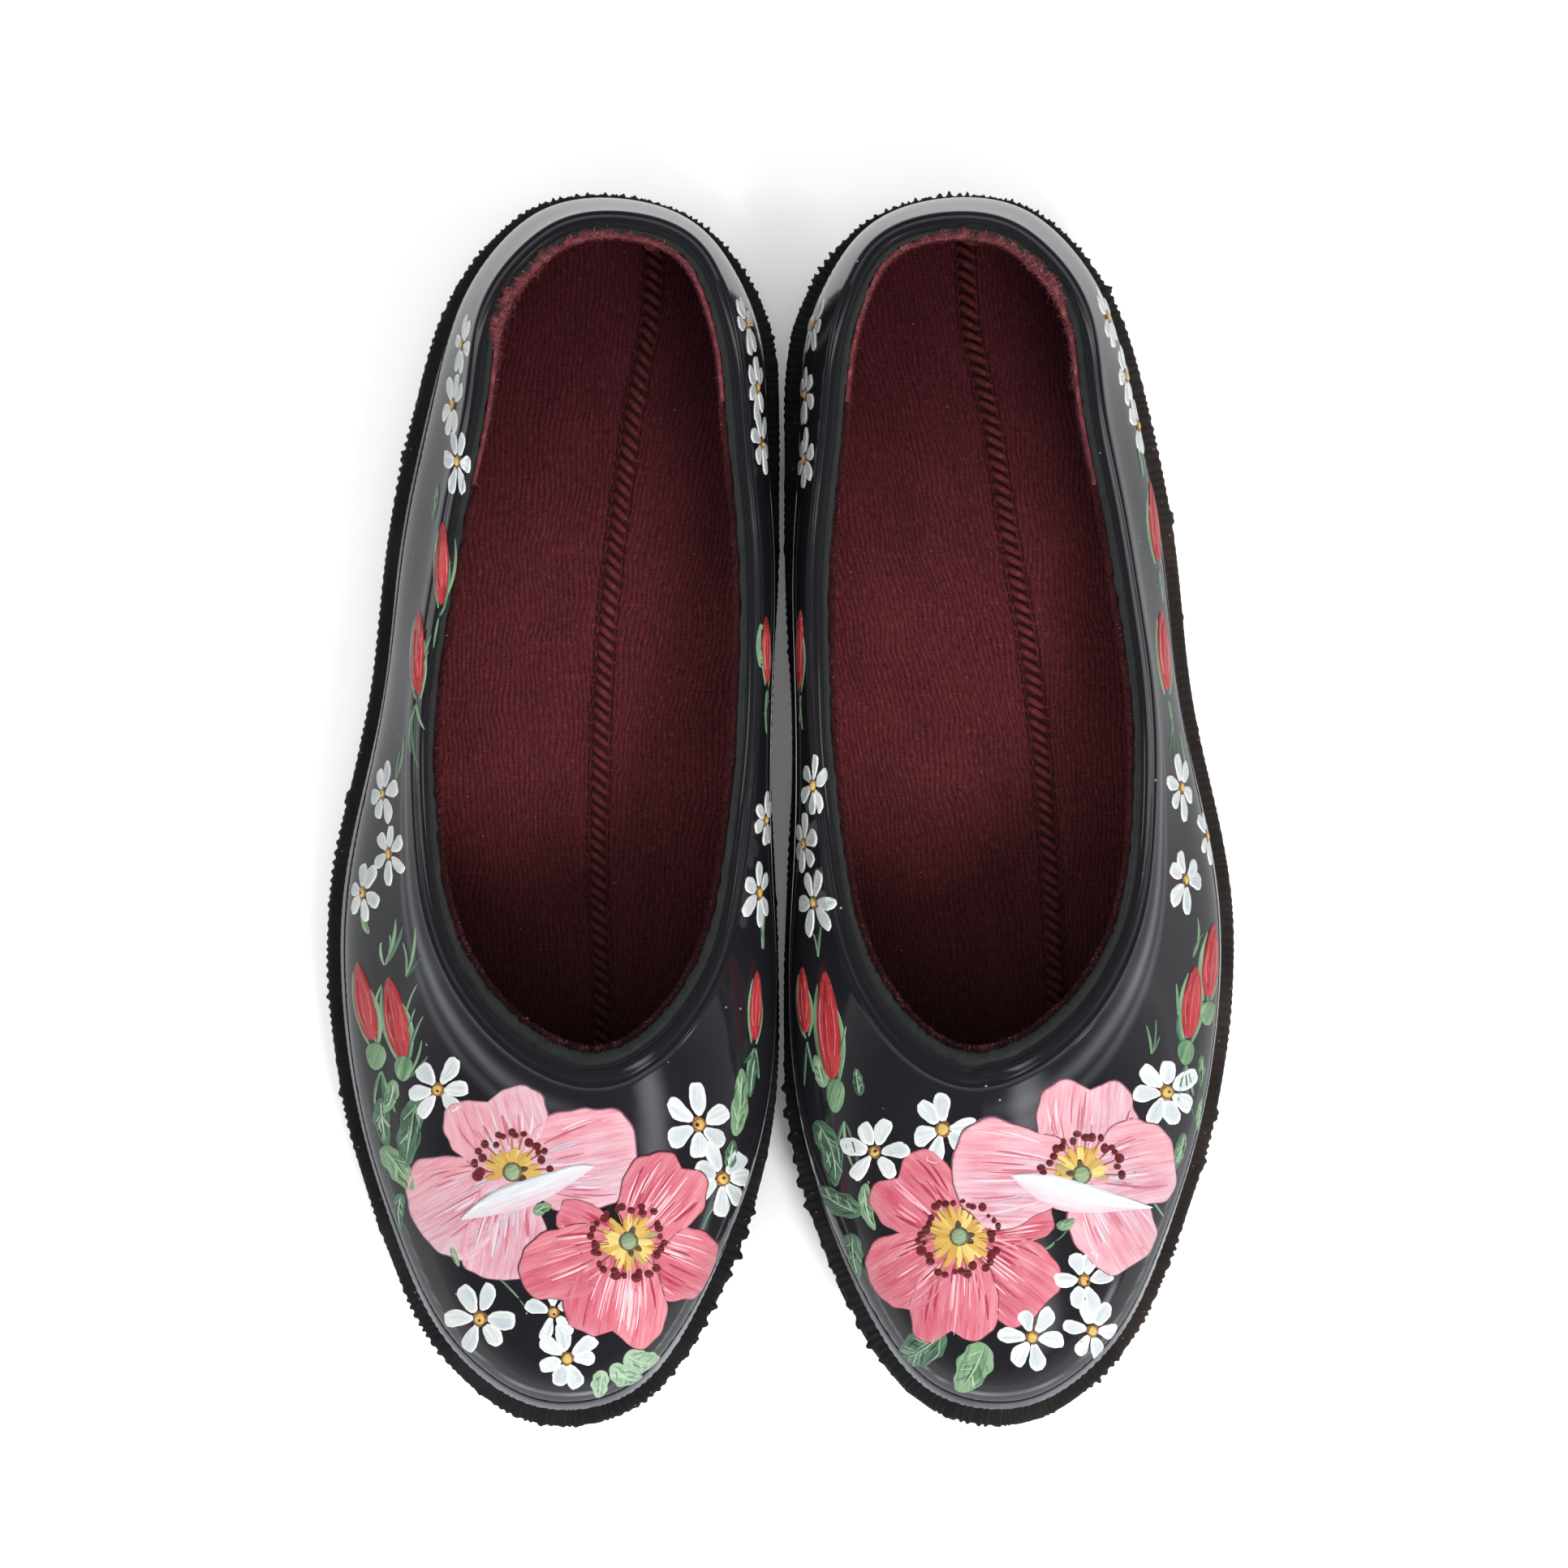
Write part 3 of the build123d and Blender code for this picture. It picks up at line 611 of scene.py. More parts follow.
# ---------------------------------------------------------------- upper
def build_upper(name, side):
    """Skin, collar roll and inside wall as one closed tube of rings.
    Returns the object and (inner wall, wall normals, level inward normals at the opening)."""
    rise = np.concatenate([[0, .006, .012, .019, .027, .036, .046, .057, .070, .085],
                           np.linspace(.102, .9, 46), np.linspace(.9, 1, 12)[1:]])
    phase, foot_in, skin, collar, opening_in = upper_rings(rise)
    normals = grid_normals(skin)
    foot = skin[0]
    if np.sum(normals[0][:, :2] * (foot.mean(0)[:2] - foot[:, :2])) < 0:
        normals = -normals
    turn = np.clip((rise - .72) / .28, 0, 1)
    turn = (turn * turn * (3 - 2 * turn))[:, None, None]
    flat = np.column_stack([opening_in, np.zeros(RING)])
    inner = skin + (1 - turn) * WALL * normals + turn * (collar[:, None] * flat)[None]
    inner[0, :, 2] = foot[:, 2]
    inner[-1, :, 2] += LIP_LIFT
    inset = np.einsum("lni,ni->ln", skin[:, :, :2] - foot[None, :, :2], foot_in)
    # slow unevenness of the moulding
    uneven = waves(5 + side, 10, 0.02, 0.075)(skin) * 0.10
    skin = skin - normals * (uneven * (np.sin(np.pi * rise) ** 0.7)[:, None])[:, :, None]

    # small fillet out onto the sole, with a fine moulding line above it round the toe
    toeward = -np.cos(phase)
    lateral = bell(np.sin(phase), 0.35)
    rim_share = np.clip(0.30 + 0.70 * lateral + 0.85 * bell(toeward, 1.4), 0, 1)
    rim_share = rim_share * (1 - 0.35 * bell(-toeward, 2))
    toe = bell(toeward, 5)
    height = skin[:, :, 2] - foot[None, :, 2]
    up_side = np.clip(height / 3.0, 0, 1)
    up_toe = np.clip(height / 5.0, 0, 1)
    flare = 1.25 * (1 - up_side) ** 2.2 * (0.45 + 0.55 * rim_share)[None]
    flare = flare + 2.2 * toe[None] * (1 - up_toe) ** 2.4
    bead = (np.exp(-((inset - 2.3) / 0.20) ** 2) * (bell(toeward, 3) * 0.9)[None]
            * (skin[:, :, 2] < foot[None, :, 2] + 22))
    skin[:, :, :2] -= foot_in[None] * (flare + 0.20 * bead)[:, :, None]
    # painted reflection: a pale line just above where the wall flares onto the sole, a pale band
    # round the toe, and a paler moulding line
    painted_reflection_side = (np.exp(-(up_side * 3.0 / 1.75) ** 3) * (rim_share ** 1.5)[None]
                 * (1 - 0.90 * toe)[None])
    painted_reflection_toe = ((0.17 + 0.20 * np.clip(up_toe * 3, 0, 1)) * toe[None]
                * np.exp(-(up_toe * 5.0 / 3.4) ** 4))
    rim = np.clip(painted_reflection_side + bead * 0.45 + painted_reflection_toe, 0, 1)
    # painted reflections, pale streaks under the collar: rise, width, strength, reach, place towards
    # the toe
    for level, width, strength, reach, middle in ((.950, .016, .20, 1.25, .1),
                                                  (.905, .010, .13, 1.1, .2)):
        around = (strength * np.clip(lateral * 1.2, 0, 1)
                  * np.clip(reach - np.abs(toeward - middle), 0, 1))
        reflection_streak = np.exp(-((rise - level) / width) ** 2)[:, None] * around[None]
        rim = rim + reflection_streak
    rim = np.clip(rim, 0, 1)

    stations = np.concatenate([np.linspace(0, .15, 10), np.linspace(.17, .58, 14),
                               np.linspace(.6, .74, 9), np.linspace(.77, 1, 9)])
    rough = (ring_noise(RING, 31 + side, 60, 190) * 0.13
             + ring_noise(RING, 41 + side, 8, 40) * 0.08)
    wander = ring_noise(RING, 51 + side, 3, 14) * 0.06
    roll = []
    for station, lift in zip(stations, spline(ROLL_Z, stations)):
        edge = np.clip((station - .8) / .2, 0, 1)
        across = station + wander * math.sin(math.pi * station) * 0.25
        ring = skin[-1] + across[:, None] * (inner[-1] - skin[-1])
        ring[:, 2] += lift + rough * edge * (1.2 - edge)
        ring[:, :2] += opening_in * (rough * edge * 0.9)[:, None]
        roll.append(ring)
    back = inner[::-6].copy()
    back[0] = roll[-1] + np.array([0, 0, -1.2])
    levels = np.concatenate([skin, roll[1:], back])
    part = np.concatenate([np.zeros(len(skin)), np.clip((stations[1:] - .60) / .05, 0, 1),
                           np.ones(len(back))])
    rim = np.concatenate([rim, np.zeros((len(levels) - len(skin), RING))])
    made = new_mesh(f"{name}_upper_shell", place(levels, side),
                    ring_faces(len(levels), RING, closed=True), M_UPPER,
                    attributes={"part": np.repeat(part, RING), "rim": rim.ravel()})
    fix_normals(made)
    return made, (inner, normals, flat)


# ---------------------------------------------------------------- lining
def spine_of(ring):
    """Centre line point for each station: x midway, kept inside the ends."""
    along = np.clip(ring[:, 1], 30, 236)
    half = len(ring) // 2
    edges = []
    for edge in (ring[:half + 1], np.concatenate([ring[half:], ring[:1]])):
        order = np.argsort(edge[:, 1])
        edges.append(np.interp(along, edge[order, 1], edge[order, 0]))
    return np.column_stack([(edges[0] + edges[1]) / 2, along])


def build_lining(name, side, upper):
    """Wall cloth from the rim down, then the footbed closing on the centre line."""
    inner, normals, flat = upper
    offset = GAP * 2 + LINING
    cloth = inner + offset * normals
    cloth[-1] = inner[-1] + flat * offset
    rim_wave = (ring_noise(RING, 71 + side, 5, 26) * 0.22
                + ring_noise(RING, 72 + side, 40, 150) * 0.10)
    cloth[-1, :, 2] = inner[-1, :, 2] - 0.15 + rim_wave
    # the last levels are drawn straight so that the cloth runs flat to its raw edge
    low, top = cloth[-10].copy(), cloth[-1].copy()
    for i in range(1, 9):
        share = (i + 1) / 10
        straight = low * (1 - share) + top * share
        cloth[i - 10] = cloth[i - 10] * (1 - share) + straight * share
    wall = cloth[:0:-1][[0, 1, 2, 3, 5, 7, 9, *range(11, len(cloth) - 1, 2)]]
    corner = len(wall)
    edge = cloth[0, :, :2]
    spine = spine_of(edge)
    floor = []
    for share in np.concatenate([np.linspace(0.0, 0.3, 9), np.linspace(0.33, 0.985, 30)]):
        plan = edge * (1 - share) + spine * share
        cup = 1.1 * (1 - min(1, share / 0.75)) ** 2
        floor.append(np.column_stack([plan, floor_z(plan[:, 1]) + LINING + cup]))
    rings = np.concatenate([wall, np.array(floor)])
    # soften the corner between wall and floor, kept clear of the sole
    for _ in range(26):
        before = rings.copy()
        rings[corner - 5:corner + 8] = (before[corner - 6:corner + 7]
                                        + before[corner - 4:corner + 9]
                                        + 2 * before[corner - 5:corner + 8]) / 4
    rings[:, :, 2] = np.maximum(rings[:, :, 2], floor_z(rings[:, :, 1]) + LINING)
    # gentle unevenness of the cloth
    lift = (waves(90 + side, 14, 0.05, 0.16)(rings) * 0.22
            + waves(95 + side, 10, 0.2, 0.5)(rings) * 0.07)
    lift[:4] *= 0.2
    cloth_normals = grid_normals(rings)
    if cloth_normals[-5, :, 2].mean() < 0:
        cloth_normals = -cloth_normals
    rings = rings + cloth_normals * (np.abs(lift) * 0.9)[:, :, None]

    # outside of the cloth, seen only as the thickness of the raw edge
    outer_rim = inner[-1] + flat * (GAP * 2)
    outer_rim[:, 2] = inner[-1, :, 2] + rim_wave * .8 - 0.05
    low_rim = inner[-4] + normals[-4] * GAP * 2
    levels = len(rings)
    base = levels * RING
    points = np.concatenate([rings.reshape(-1, 3), outer_rim, low_rim])
    faces = ring_faces(levels, RING) + zip_faces(base - RING, RING)
    faces += ring_faces(2, RING, base=base)
    faces += [[j, (j + 1) % RING, base + (j + 1) % RING, base + j] for j in range(RING)]

    # UVs in mm: plain x on the floor, height above the floor's edge on the wall
    arc = np.concatenate([np.zeros((1, RING)),
                          np.cumsum(np.linalg.norm(np.diff(rings, axis=0), axis=2), 0)])
    arc = arc[-1][None] - arc
    sign = np.where(np.arange(RING) < RING // 2, -1.0, 1.0)
    along, across = rings[:, :, 1], rings[:, :, 0]
    first = corner + 3
    walled = across[first][None] + sign[None] * (arc - arc[first][None])
    across = np.where(np.arange(levels)[:, None] >= first, across, walled)
    across = across - spline(SEAM[name], along)
    across = across + np.sign(across) * 0.07 * (along - 100.0)
    uv = np.stack([across, along], -1).reshape(-1, 2)
    uv = np.concatenate([uv, uv[:RING] + [0.8, 0], uv[:RING] + [1.6, 0]])
    dark = np.zeros((levels, RING))
    dark[:5] = np.array([1, 1, .8, .5, .2])[:, None]
    dark = np.concatenate([dark.ravel(), np.ones(2 * RING)])
    dark = dark * np.clip((points[:, 1] - 34) / 30, 0, 1)
    made = new_mesh(f"{name}_knit_lining", place(points, side), faces, M_KNIT, uv=uv,
                    attributes={"edge": dark})
    fix_normals(made)
    return made, rings


# ---------------------------------------------------------------- threads and fibres
def tubes(paths, radii, sides, taper=True):
    """Closed tubes along paths (tube, point, xyz)."""
    paths = np.asarray(paths, float)
    count, length, _ = paths.shape
    tangent = np.gradient(paths, axis=1)
    tangent /= np.linalg.norm(tangent, axis=2)[:, :, None] + 1e-12
    first = np.cross(tangent, np.tile(np.array([0.13, 0.21, 0.97]), (count, length, 1)))
    first /= np.linalg.norm(first, axis=2)[:, :, None] + 1e-12
    second = np.cross(tangent, first)
    profile = np.linspace(1, .35, length) if taper else np.ones(length)
    radius = (np.asarray(radii)[:, None] * profile[None])[:, :, None, None]
    ring = circle(sides)[None, None, :, :, None]
    points = paths[:, :, None] + radius * (ring[..., 0, :] * first[:, :, None]
                                           + ring[..., 1, :] * second[:, :, None])
    i = np.arange(count)[:, None, None]
    j = np.arange(length - 1)[None, :, None]
    k = np.arange(sides)[None, None]
    start = (i * length + j) * sides + k
    after = (i * length + j) * sides + (k + 1) % sides
    faces = np.stack([start, after, after + sides, start + sides], -1).reshape(-1, 4).tolist()
    base = (np.arange(count) * length * sides)[:, None]
    faces += (base + np.arange(sides)[::-1][None]).tolist()
    faces += (base + (length - 1) * sides + np.arange(sides)[None]).tolist()
    return points.reshape(-1, 3), faces


def plump(paths, radii, sides):
    """Tubes that swell in the middle and close at both ends, like a pulled loop of thread."""
    points, faces = tubes(paths, radii, sides, taper=False)
    paths = np.asarray(paths, float)
    count, length, _ = paths.shape
    points = points.reshape(count, length, sides, 3)
    swell = np.sin(np.pi * np.linspace(.10, .90, length)) ** 0.55
    points = paths[:, :, None] + (points - paths[:, :, None]) * swell[None, :, None, None]
    return points.reshape(-1, 3), faces


def fibres(roots, direction, curl, length, bend, radii):
    """Curled three-sided hairs, four points long."""
    step = np.linspace(0, 1, 4)[None, :, None]
    length = length[:, None, None]
    paths = roots[:, None] + direction[:, None] * length * step
    return tubes(paths + curl[:, None] * (length * bend) * step**2, radii, 3)


def build_fuzz(name, side, upper):
    """Loose fibres along the raw edge, and a frayed strip lying over the rim at the heel."""
    inner, _, flat = upper
    rng = np.random.default_rng(300 + side)
    even, ragged_count = 3000, 620
    edge = inner[-1] + flat * (GAP * 2 + LINING * .55)
    station = rng.uniform(0, RING, even)
    # more fibres where the cloth was cut roughly: the lateral back of the heel
    extra = rng.uniform(RING * 0.055, RING * 0.13, ragged_count)
    station = np.concatenate([station, extra]) % RING
    count = len(station)
    i = np.floor(station).astype(int) % RING
    share = (station - np.floor(station))[:, None]
    following = edge[(i + 1) % RING]
    roots = edge[i] * (1 - share) + following * share
    into = flat[i]
    tangent = following - edge[i]
    tangent /= np.linalg.norm(tangent, axis=1)[:, None]
    ragged = np.arange(count) >= even
    length = np.where(ragged, rng.uniform(0.6, 1.7, count),
                      rng.uniform(0.2, 0.8, count) ** 1.2 + 0.12)
    length *= np.where(roots[:, 1] > 60, 0.75, 1.0)
    roots = roots + into * rng.uniform(-0.75, 0.55, count)[:, None] + np.array([0, 0, -0.25])
    up = np.array([0, 0, 1.0])
    direction = (into * rng.normal(-0.1, 0.55, count)[:, None]
                 + tangent * rng.normal(0, 0.75, count)[:, None]
                 + up * rng.uniform(0.25, 0.9, count)[:, None])
    direction /= np.linalg.norm(direction, axis=1)[:, None]
    curl = (into * rng.normal(-0.1, 0.5, count)[:, None]
            + tangent * rng.normal(0, 0.7, count)[:, None]
            - up * rng.uniform(0.0, 0.5, count)[:, None])
    radii = np.where(ragged, rng.uniform(.05, .11, count), rng.uniform(.035, .075, count))
    hair_points, faces = fibres(roots, direction, curl, length, 0.5, radii)
    near_heel = np.clip(1 - (roots[:, 1] - 30) / 45, 0, 1)
    tone = rng.uniform(0.15, 1, count) ** 1.3
    pale = rng.uniform(0, 1, count) < 0.07
    hair_tone = np.repeat(np.where(pale, 0.9, tone * (0.22 + 0.50 * near_heel)), 12)

    # frayed strip, as wide as the trimming left it
    stations = np.arange(-int(RING * .13), int(RING * .165))
    turn = stations / RING
    ring_index = stations % RING
    rows, cols = len(stations), 9
    peak, widest = (0.088, 1.9) if side < 0 else (0.070, 1.1)
    width = (widest * np.exp(-((turn - peak) / 0.019) ** 6)
             + 0.75 * np.exp(-((turn - 0.022) / 0.040) ** 4) + 0.16)
    width = width * (1 + 0.34 * ring_noise(RING, 812 + side, 40, 130)[ring_index]
                     + 0.22 * ring_noise(RING, 816 + side, 12, 44)[ring_index])
    width = width * np.clip((0.118 - turn) / 0.010, 0, 1) * np.clip((turn + 0.10) / 0.04, 0, 1)
    width = np.clip(width, 0.02, 2.4)
    across = np.linspace(0, 1, cols)
    start = inner[-1][ring_index] + flat[ring_index] * 0.9
    reach = (across[None] * (width + 0.9)[:, None])[:, :, None]
    strip = start[:, None] - flat[ring_index][:, None] * reach
    noise = waves(820 + side, 16, 1.2, 4.5)(strip.reshape(-1, 3)).reshape(rows, cols)
    arch = 0.85 * np.sin(np.pi * np.clip(across * .9 + .1, 0, 1))[None] + 0.22 * noise
    strip[:, :, 2] = (inner[-1][ring_index][:, None, 2] + 0.75
                      + arch * np.clip(width / 1.2, 0, 1)[:, None])
    strip[:, 0, 2] -= 0.9
    strip[:, -1, 2] -= 0.75
    under = strip.copy()
    under[:, :, 2] -= 0.45
    strip_points = np.concatenate([strip.reshape(-1, 3), under.reshape(-1, 3)])
    below = rows * cols
    strip_faces = grid_faces(rows, cols)
    strip_faces += [[x + below for x in face[::-1]] for face in strip_faces]
    for i in range(rows - 1):
        here, ahead = i * cols, (i + 1) * cols
        strip_faces.append([here, ahead, ahead + below, here + below])
        here, ahead = here + cols - 1, ahead + cols - 1
        strip_faces.append([here, here + below, ahead + below, ahead])
    for j in range(cols - 1):
        strip_faces.append([j, j + below, j + 1 + below, j + 1])
        last = (rows - 1) * cols + j
        strip_faces.append([last, last + 1, last + 1 + below, last + below])
    strip_tone = np.tile(np.clip(0.30 + 0.16 * noise, 0, 1).ravel(), 2)

    # loose fibres standing on the strip
    count = 2600
    weight = np.clip(width, 0.05, None)
    pick = rng.choice(rows, count, p=weight / weight.sum())
    column = rng.integers(1, cols - 1, count)
    roots = strip[pick, column] + rng.normal(0, 0.15, (count, 3))
    roots[:, 2] = strip[pick, column, 2] - 0.1
    direction = rng.normal(0, 1, (count, 3))
    direction[:, 2] = np.abs(direction[:, 2]) * .6 + .15
    direction /= np.linalg.norm(direction, axis=1)[:, None]
    curl = rng.normal(0, .8, (count, 3))
    curl[:, 2] -= .5
    length = rng.uniform(.25, .9, count)
    loose_points, loose_faces = fibres(roots, direction, curl, length, .45,
                                       rng.uniform(.04, .08, count))
    loose_tone = np.repeat(rng.uniform(.2, 1, count), 12)
    faces += shifted(strip_faces, len(hair_points))
    faces += shifted(loose_faces, len(hair_points) + len(strip_points))
    points = np.concatenate([hair_points, strip_points, loose_points])
    tone = np.concatenate([hair_tone, strip_tone, loose_tone])
    return new_mesh(f"{name}_raw_edge_fibres", place(points, side), faces, M_FUZZ,
                    attributes={"tone": tone})


# ---------------------------------------------------------------- overlock seam
def seam_path(name, rings):
    """Down the heel wall, then forward over the floor; points every 0.30 mm."""
    table = SEAM[name]
    seam_x = table[0][1]
    heel = np.r_[RING - RING // 8:RING, 0:RING // 8]
    points = []
    for ring in rings:
        row = ring[heel]
        if row[:, 0].min() > seam_x - 1 or row[:, 0].max() < seam_x + 1:
            break
        order = np.argsort(row[:, 0])
        along, z = (np.interp(seam_x, row[order, 0], row[order, axis]) for axis in (1, 2))
        if along > 30:
            break
        points.append([seam_x, along, z])
    wall_end = points[-1][1]
    offset = seam_x - float(spline(table, wall_end))
    for along in np.linspace(wall_end + 1.5, 228, 150):
        x = float(spline(table, along)) + offset * math.exp(-(along - wall_end) / 14)
        points.append([x, along, float(floor_z(along)) + LINING])
    points = np.array(points)
    length = np.concatenate([[0], np.cumsum(np.linalg.norm(np.diff(points, axis=0), axis=1))])
    stations = np.linspace(0, length[-1], int(length[-1] / 0.30))
    points = np.stack([np.interp(stations, length, points[:, axis]) for axis in range(3)], 1)
    for _ in range(40):
        points[1:-1] = (points[:-2] + points[2:] + 2 * points[1:-1]) / 4
    return points, stations


def build_seam(name, side, lining, rings):
    half_width, dome_height, stitch, cols = 1.72, 1.05, 2.6, 17
    path, length = seam_path(name, rings)
    tree = surface_tree(lining)
    found = [tree.find_nearest(Vector(point)) for point in place(path, side)]
    base = np.array([hit[0] for hit in found])
    normals = np.array([hit[1] for hit in found])
    cavity = place(np.array([[0, 100, 40.0]]), side)[0]
    normals[np.sum(normals * (cavity - base), 1) < 0] *= -1
    for _ in range(30):
        normals[1:-1] = normals[:-2] + normals[2:] + 2 * normals[1:-1]
        normals /= np.linalg.norm(normals, axis=1)[:, None]
    tangent = np.gradient(base, axis=0)
    tangent /= np.linalg.norm(tangent, axis=1)[:, None]
    sideways = np.cross(tangent, normals)
    sideways /= np.linalg.norm(sideways, axis=1)[:, None]

    # ribbed ridge on a flat underside
    count = len(length)
    across = np.linspace(-1, 1, cols)
    turns = length[:, None] / stitch + across[None] * 0.55
    rope = (0.5 + 0.5 * np.sin(2 * np.pi * turns)) ** 0.8
    wobble = 1 + 0.10 * np.sin(length * 0.9) + 0.06 * np.sin(length * 2.3 + 1)
    height = (dome_height * (1 - across**2) ** 0.6)[None] * (0.50 + 0.55 * rope) * wobble[:, None]
    offset = across[None] * half_width * (1 + 0.05 * np.sin(length * 1.7))[:, None]
    shift = sideways[:, None] * offset[:, :, None]
    ridge = base[:, None] + (shift + normals[:, None] * (height - 0.06)[:, :, None]) * MM
    under = base[:, None] + (shift - normals[:, None] * 0.35) * MM
    below = count * cols
    points = np.concatenate([ridge.reshape(-1, 3), under[:, [0, -1]].reshape(-1, 3)])
    uv = np.concatenate([
        np.stack([np.repeat(length[:, None], cols, 1), offset], -1).reshape(-1, 2),
        np.stack([np.repeat(length, 2), np.tile([-half_width, half_width], count)], -1)])
    # tone is painted shade on the ridge: darker in the valleys between its ribs and at its edges;
    # the loops get none
    tone = np.clip(0.45 + (1 - rope) * 0.4 + (np.abs(across)[None] > 0.9) * 0.5, 0, 1).ravel()
    tone = np.concatenate([tone, np.ones(2 * count) * .8])
    faces = grid_faces(count, cols)
    for i in range(count - 1):
        here, ahead = below + 2 * i, below + 2 * i + 2
        faces.append([i * cols, (i + 1) * cols, ahead, here])
        faces.append([(i + 1) * cols + cols - 1, i * cols + cols - 1, here + 1, ahead + 1])
        faces.append([here, ahead, ahead + 1, here + 1])
    faces.append(list(range(cols - 1, -1, -1)) + [below, below + 1])
    faces.append([(count - 1) * cols + c for c in range(cols)]
                 + [below + 2 * count - 1, below + 2 * count - 2])

    def on_seam(stations):
        """Base point, sideways and normal at distances along the seam."""
        index = np.interp(stations, length, np.arange(count))
        i = np.clip(index.astype(int), 0, count - 2)
        share = (index - i)[:, None]
        return base[i] * (1 - share) + base[i + 1] * share, sideways[i], normals[i]

    # overlock threads laid slanting across the ridge
    rng = np.random.default_rng(640 + side)
    bend = np.linspace(-1, 1, 7)
    rise = dome_height * (1 - bend**2) ** 0.6 * 0.92 - 0.10
    loops, radii = [], []
    for i in range(1, int(length[-1] / stitch) - 1):
        point, beside, normal = on_seam((i + 0.22) * stitch - bend * 0.55 * stitch
                                        + rng.normal(0, 0.10))
        loops.append(point + (beside * (bend * half_width)[:, None]
                              + normal * rise[:, None]) * MM)
        radii.append(rng.uniform(0.66, 0.80) * MM)
    loop_points, loop_faces = plump(loops, radii, 8)
    loop_uv = np.stack([np.repeat(np.arange(len(loops)), 56) * 1.0,
                        np.tile(np.repeat(bend * 2, 8), len(loops))], -1)
    # a row of needle stitches on either side
    rise = 0.10 + 0.12 * np.sin(np.linspace(0, np.pi, 5))
    needle = []
    for sign in (-1, 1):
        for i in range(1, int(length[-1] / stitch)):
            point, beside, normal = on_seam(np.linspace(i * stitch, i * stitch + 1.9, 5))
            needle.append(point + (beside * (sign * 2.32) + normal * rise[:, None]) * MM)
    needle_points, needle_faces = tubes(needle, np.full(len(needle), 0.15 * MM), 4, taper=False)
    needle_uv = np.zeros((len(needle_points), 2))
    needle_uv[:, 0] = np.arange(len(needle_points)) * 0.07
    faces += shifted(loop_faces, len(points))
    faces += shifted(needle_faces, len(points) + len(loop_points))
    points = np.concatenate([points, loop_points, needle_points])
    tone = np.concatenate([tone, np.zeros(len(loop_points)), np.full(len(needle_points), .85)])
    # along carries the lining's painted shade into the thread
    along = (LENGTH / 2 - points[:, 1] / MM) / math.cos(TOE_OUT)
    made = new_mesh(f"{name}_overlock_seam", points, faces, M_THREAD,
                    uv=np.concatenate([uv, loop_uv, needle_uv]),
                    attributes={"tone": tone, "along": along})
    fix_normals(made)
    return made


# ---------------------------------------------------------------- outsole
RIB_PITCH = 1.95
RAND_HEIGHT = 5.2
# side wall of the rand: fraction of its height down, inset from the outline
RAND_WALL = [(0.0, 0.12), (0.06, 0.0), (0.16, -0.04), (0.3, -0.03), (0.45, 0.02), (0.6, 0.04),
             (0.75, 0.08), (0.9, 0.16), (1.0, 0.42)]


def build_rand(name, side):
    """Ribbed flange and side wall of the sole, a closed ring."""
    count = 2304
    phase = angles(count)
    outline = OUTLINE(phase)
    into = inward(outline)
    steps = np.linalg.norm(np.roll(outline, -1, 0) - outline, axis=1)
    travelled = np.concatenate([[0], np.cumsum(steps)[:-1]])
    girth = steps.sum()
    lateral = outline[:, 0] < 0
    along = outline[:, 1]
    top = feather_z(along) - GAP

    def noise(seed, low, high):
        return ring_noise(count, seed + side, low, high)
    saw = (travelled / girth * int(girth / RIB_PITCH) + noise(510, 20, 90) * 0.22) % 1.0
    tooth = np.where(saw < 0.62, np.sin(np.pi * saw / 0.62) ** 0.6, 0.0)
    depth = 0.30 + 0.16 * noise(520, 6, 40)
    if side > 0:
        depth = depth * (1 - 0.75 * np.exp(-(((along - 120) / 75.0) ** 4)) * lateral)
    depth = np.clip(depth, 0.05, 0.62)
    burr = np.clip(noise(530, 30, 120) - 1.35, 0, 1) * 0.55
    reach = depth * tooth + burr * (along > 10)
    reach = np.where((~lateral) & (along > 30) & (along < 215), reach * 0.45, reach)
    # torn-looking flash knobs on the medial side of the toe
    start, end = (214, 262) if side < 0 else (184, 256)
    zone = (~lateral) * np.clip((along - start) / 8, 0, 1) * np.clip((end - along) / 8, 0, 1)
    reach = reach + zone * (0.25 + 0.75 * np.clip(noise(540, 95, 150), 0, 1.3))
    heel = np.clip((34 - along) / 14, 0, 1)
    reach = reach + heel * 0.30 * np.clip(noise(550, 150, 400), 0, 2)

    rows = []

    def row(inset, z):
        rows.append(np.column_stack([outline + into * np.reshape(inset, (-1, 1)), z]))
    # flange, from under the upper out to the edge
    for share in np.linspace(-0.5, 0.93, 8):
        rib = 0.30 * tooth * np.clip(share * 1.6, 0, 1) * (0.6 + 0.8 * depth)
        row(welt(phase) * (1 - share),
            top + rib + 0.10 * np.clip(share, 0, 1) - (0.0 if share > 0 else 0.35))
    for share, inset in RAND_WALL:
        drop = 0.03 if share == 0 else 0.25 + RAND_HEIGHT * share
        row(inset - reach * (1 - 0.25 * share), top - drop)
    # step in to the lower wall, behind the cleats, and return inside
    step_z = top - RAND_HEIGHT - 0.45
    low_z = np.minimum(tread_z(along) + LUG_DEPTH - 0.3, step_z - 0.4)
    for share, inset in ((0.0, 1.15), (0.5, 1.25), (1.0, 1.35)):
        row(inset - reach * 0.25, step_z * (1 - share) + low_z * share)
    row(9.5, low_z)
    row(9.5, top - 0.6)
    made = new_mesh(f"{name}_outsole_rand", place(np.array(rows), side),
                    ring_faces(len(rows), count, closed=True), M_SOLE)
    fix_normals(made)
    return made


